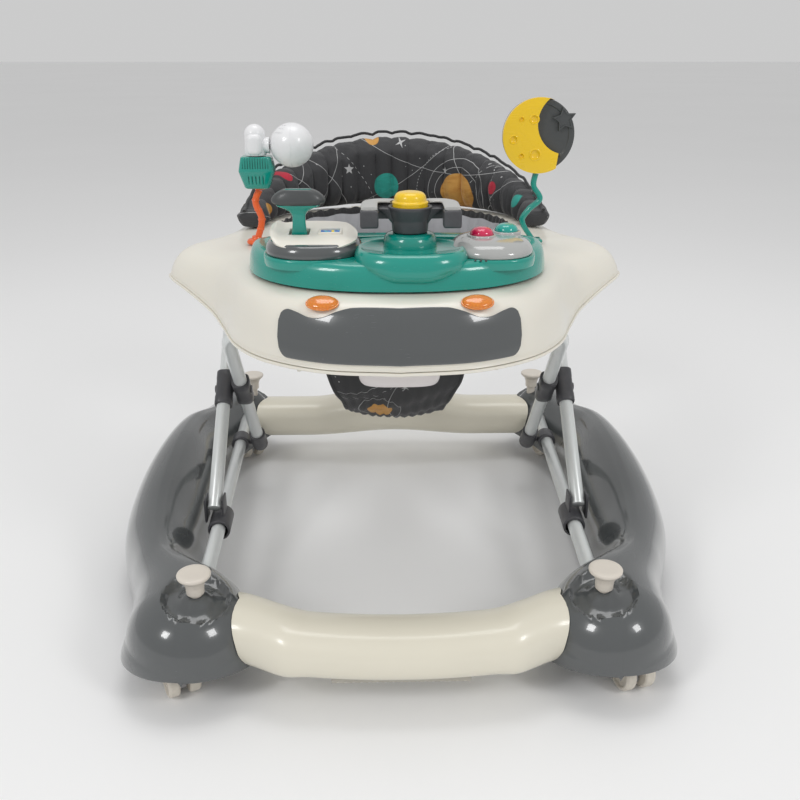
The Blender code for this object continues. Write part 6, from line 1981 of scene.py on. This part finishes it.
class WALKER_OT_steering_wheel(bpy.types.Operator):
    """Models the wheel's hub, hand hooks and horn."""

    bl_idname = "walker.steering_wheel"
    bl_label = "Steering wheel"
    bl_options = {"REGISTER", "UNDO"}

    def execute(self, context):
        ready()
        steering_wheel()
        return {"FINISHED"}


class WALKER_OT_right_console(bpy.types.Operator):
    """Models the pale console with its two buttons."""

    bl_idname = "walker.right_console"
    bl_label = "Right console"
    bl_options = {"REGISTER", "UNDO"}

    def execute(self, context):
        ready()
        right_console()
        return {"FINISHED"}


class WALKER_OT_seat(bpy.types.Operator):
    """Sews the padded back, the linings and the sling seat."""

    bl_idname = "walker.seat"
    bl_label = "Seat"
    bl_options = {"REGISTER", "UNDO"}

    def execute(self, context):
        ready()
        seat_back()
        seat_linings()
        seat_pouch()
        return {"FINISHED"}


class WALKER_OT_left_toys(bpy.types.Operator):
    """Models the orange stalk and the toys on it."""

    bl_idname = "walker.left_toys"
    bl_label = "Left toys"
    bl_options = {"REGISTER", "UNDO"}

    def execute(self, context):
        ready()
        left_toys()
        return {"FINISHED"}


class WALKER_OT_right_toys(bpy.types.Operator):
    """Models the teal stalk and the moon."""

    bl_idname = "walker.right_toys"
    bl_label = "Right toys"
    bl_options = {"REGISTER", "UNDO"}

    def execute(self, context):
        ready()
        right_toys()
        return {"FINISHED"}


class WALKER_OT_stage(bpy.types.Operator):
    """Lays the floor and sets the lights and the camera."""

    bl_idname = "walker.stage"
    bl_label = "Stage"

    def execute(self, context):
        build_stage(context.scene.walker_look)
        return {"FINISHED"}


class WALKER_PT_panel(bpy.types.Panel):
    """Lists the walker's colours and steps."""

    bl_label = "Baby walker"
    bl_space_type = "VIEW_3D"
    bl_region_type = "UI"
    bl_category = "Walker"

    def draw(self, context):
        look = context.scene.walker_look
        for name in look.bl_rna.properties.keys():
            if name not in ("rna_type", "name"):
                self.layout.prop(look, name)
        for made in STEPS:
            self.layout.operator(made.bl_idname)


STEPS = [
    WALKER_OT_base_shells,
    WALKER_OT_base_rails,
    WALKER_OT_knobs_and_casters,
    WALKER_OT_leg_frames,
    WALKER_OT_tray,
    WALKER_OT_bumper_and_lamps,
    WALKER_OT_toy_panel,
    WALKER_OT_left_console,
    WALKER_OT_steering_wheel,
    WALKER_OT_right_console,
    WALKER_OT_seat,
    WALKER_OT_left_toys,
    WALKER_OT_right_toys,
    WALKER_OT_stage,
]
CLASSES = [WALKER_PG_look, *STEPS, WALKER_PT_panel]


def register():
    for made in CLASSES:
        bpy.utils.register_class(made)
    bpy.types.Scene.walker_look = PointerProperty(type=WALKER_PG_look)


def unregister():
    del bpy.types.Scene.walker_look
    for made in reversed(CLASSES):
        bpy.utils.unregister_class(made)


def main():
    register()
    walker = bpy.ops.walker
    for build in (
            walker.base_shells, walker.base_rails, walker.knobs_and_casters, walker.leg_frames, walker.tray,
            walker.bumper_and_lamps, walker.toy_panel, walker.left_console, walker.steering_wheel,
            walker.right_console, walker.seat, walker.left_toys, walker.right_toys, walker.stage):
        if build() != {"FINISHED"}:
            raise RuntimeError(f"{build.idname_py()} wasn't finished")


if __name__ == "__main__":
    main()
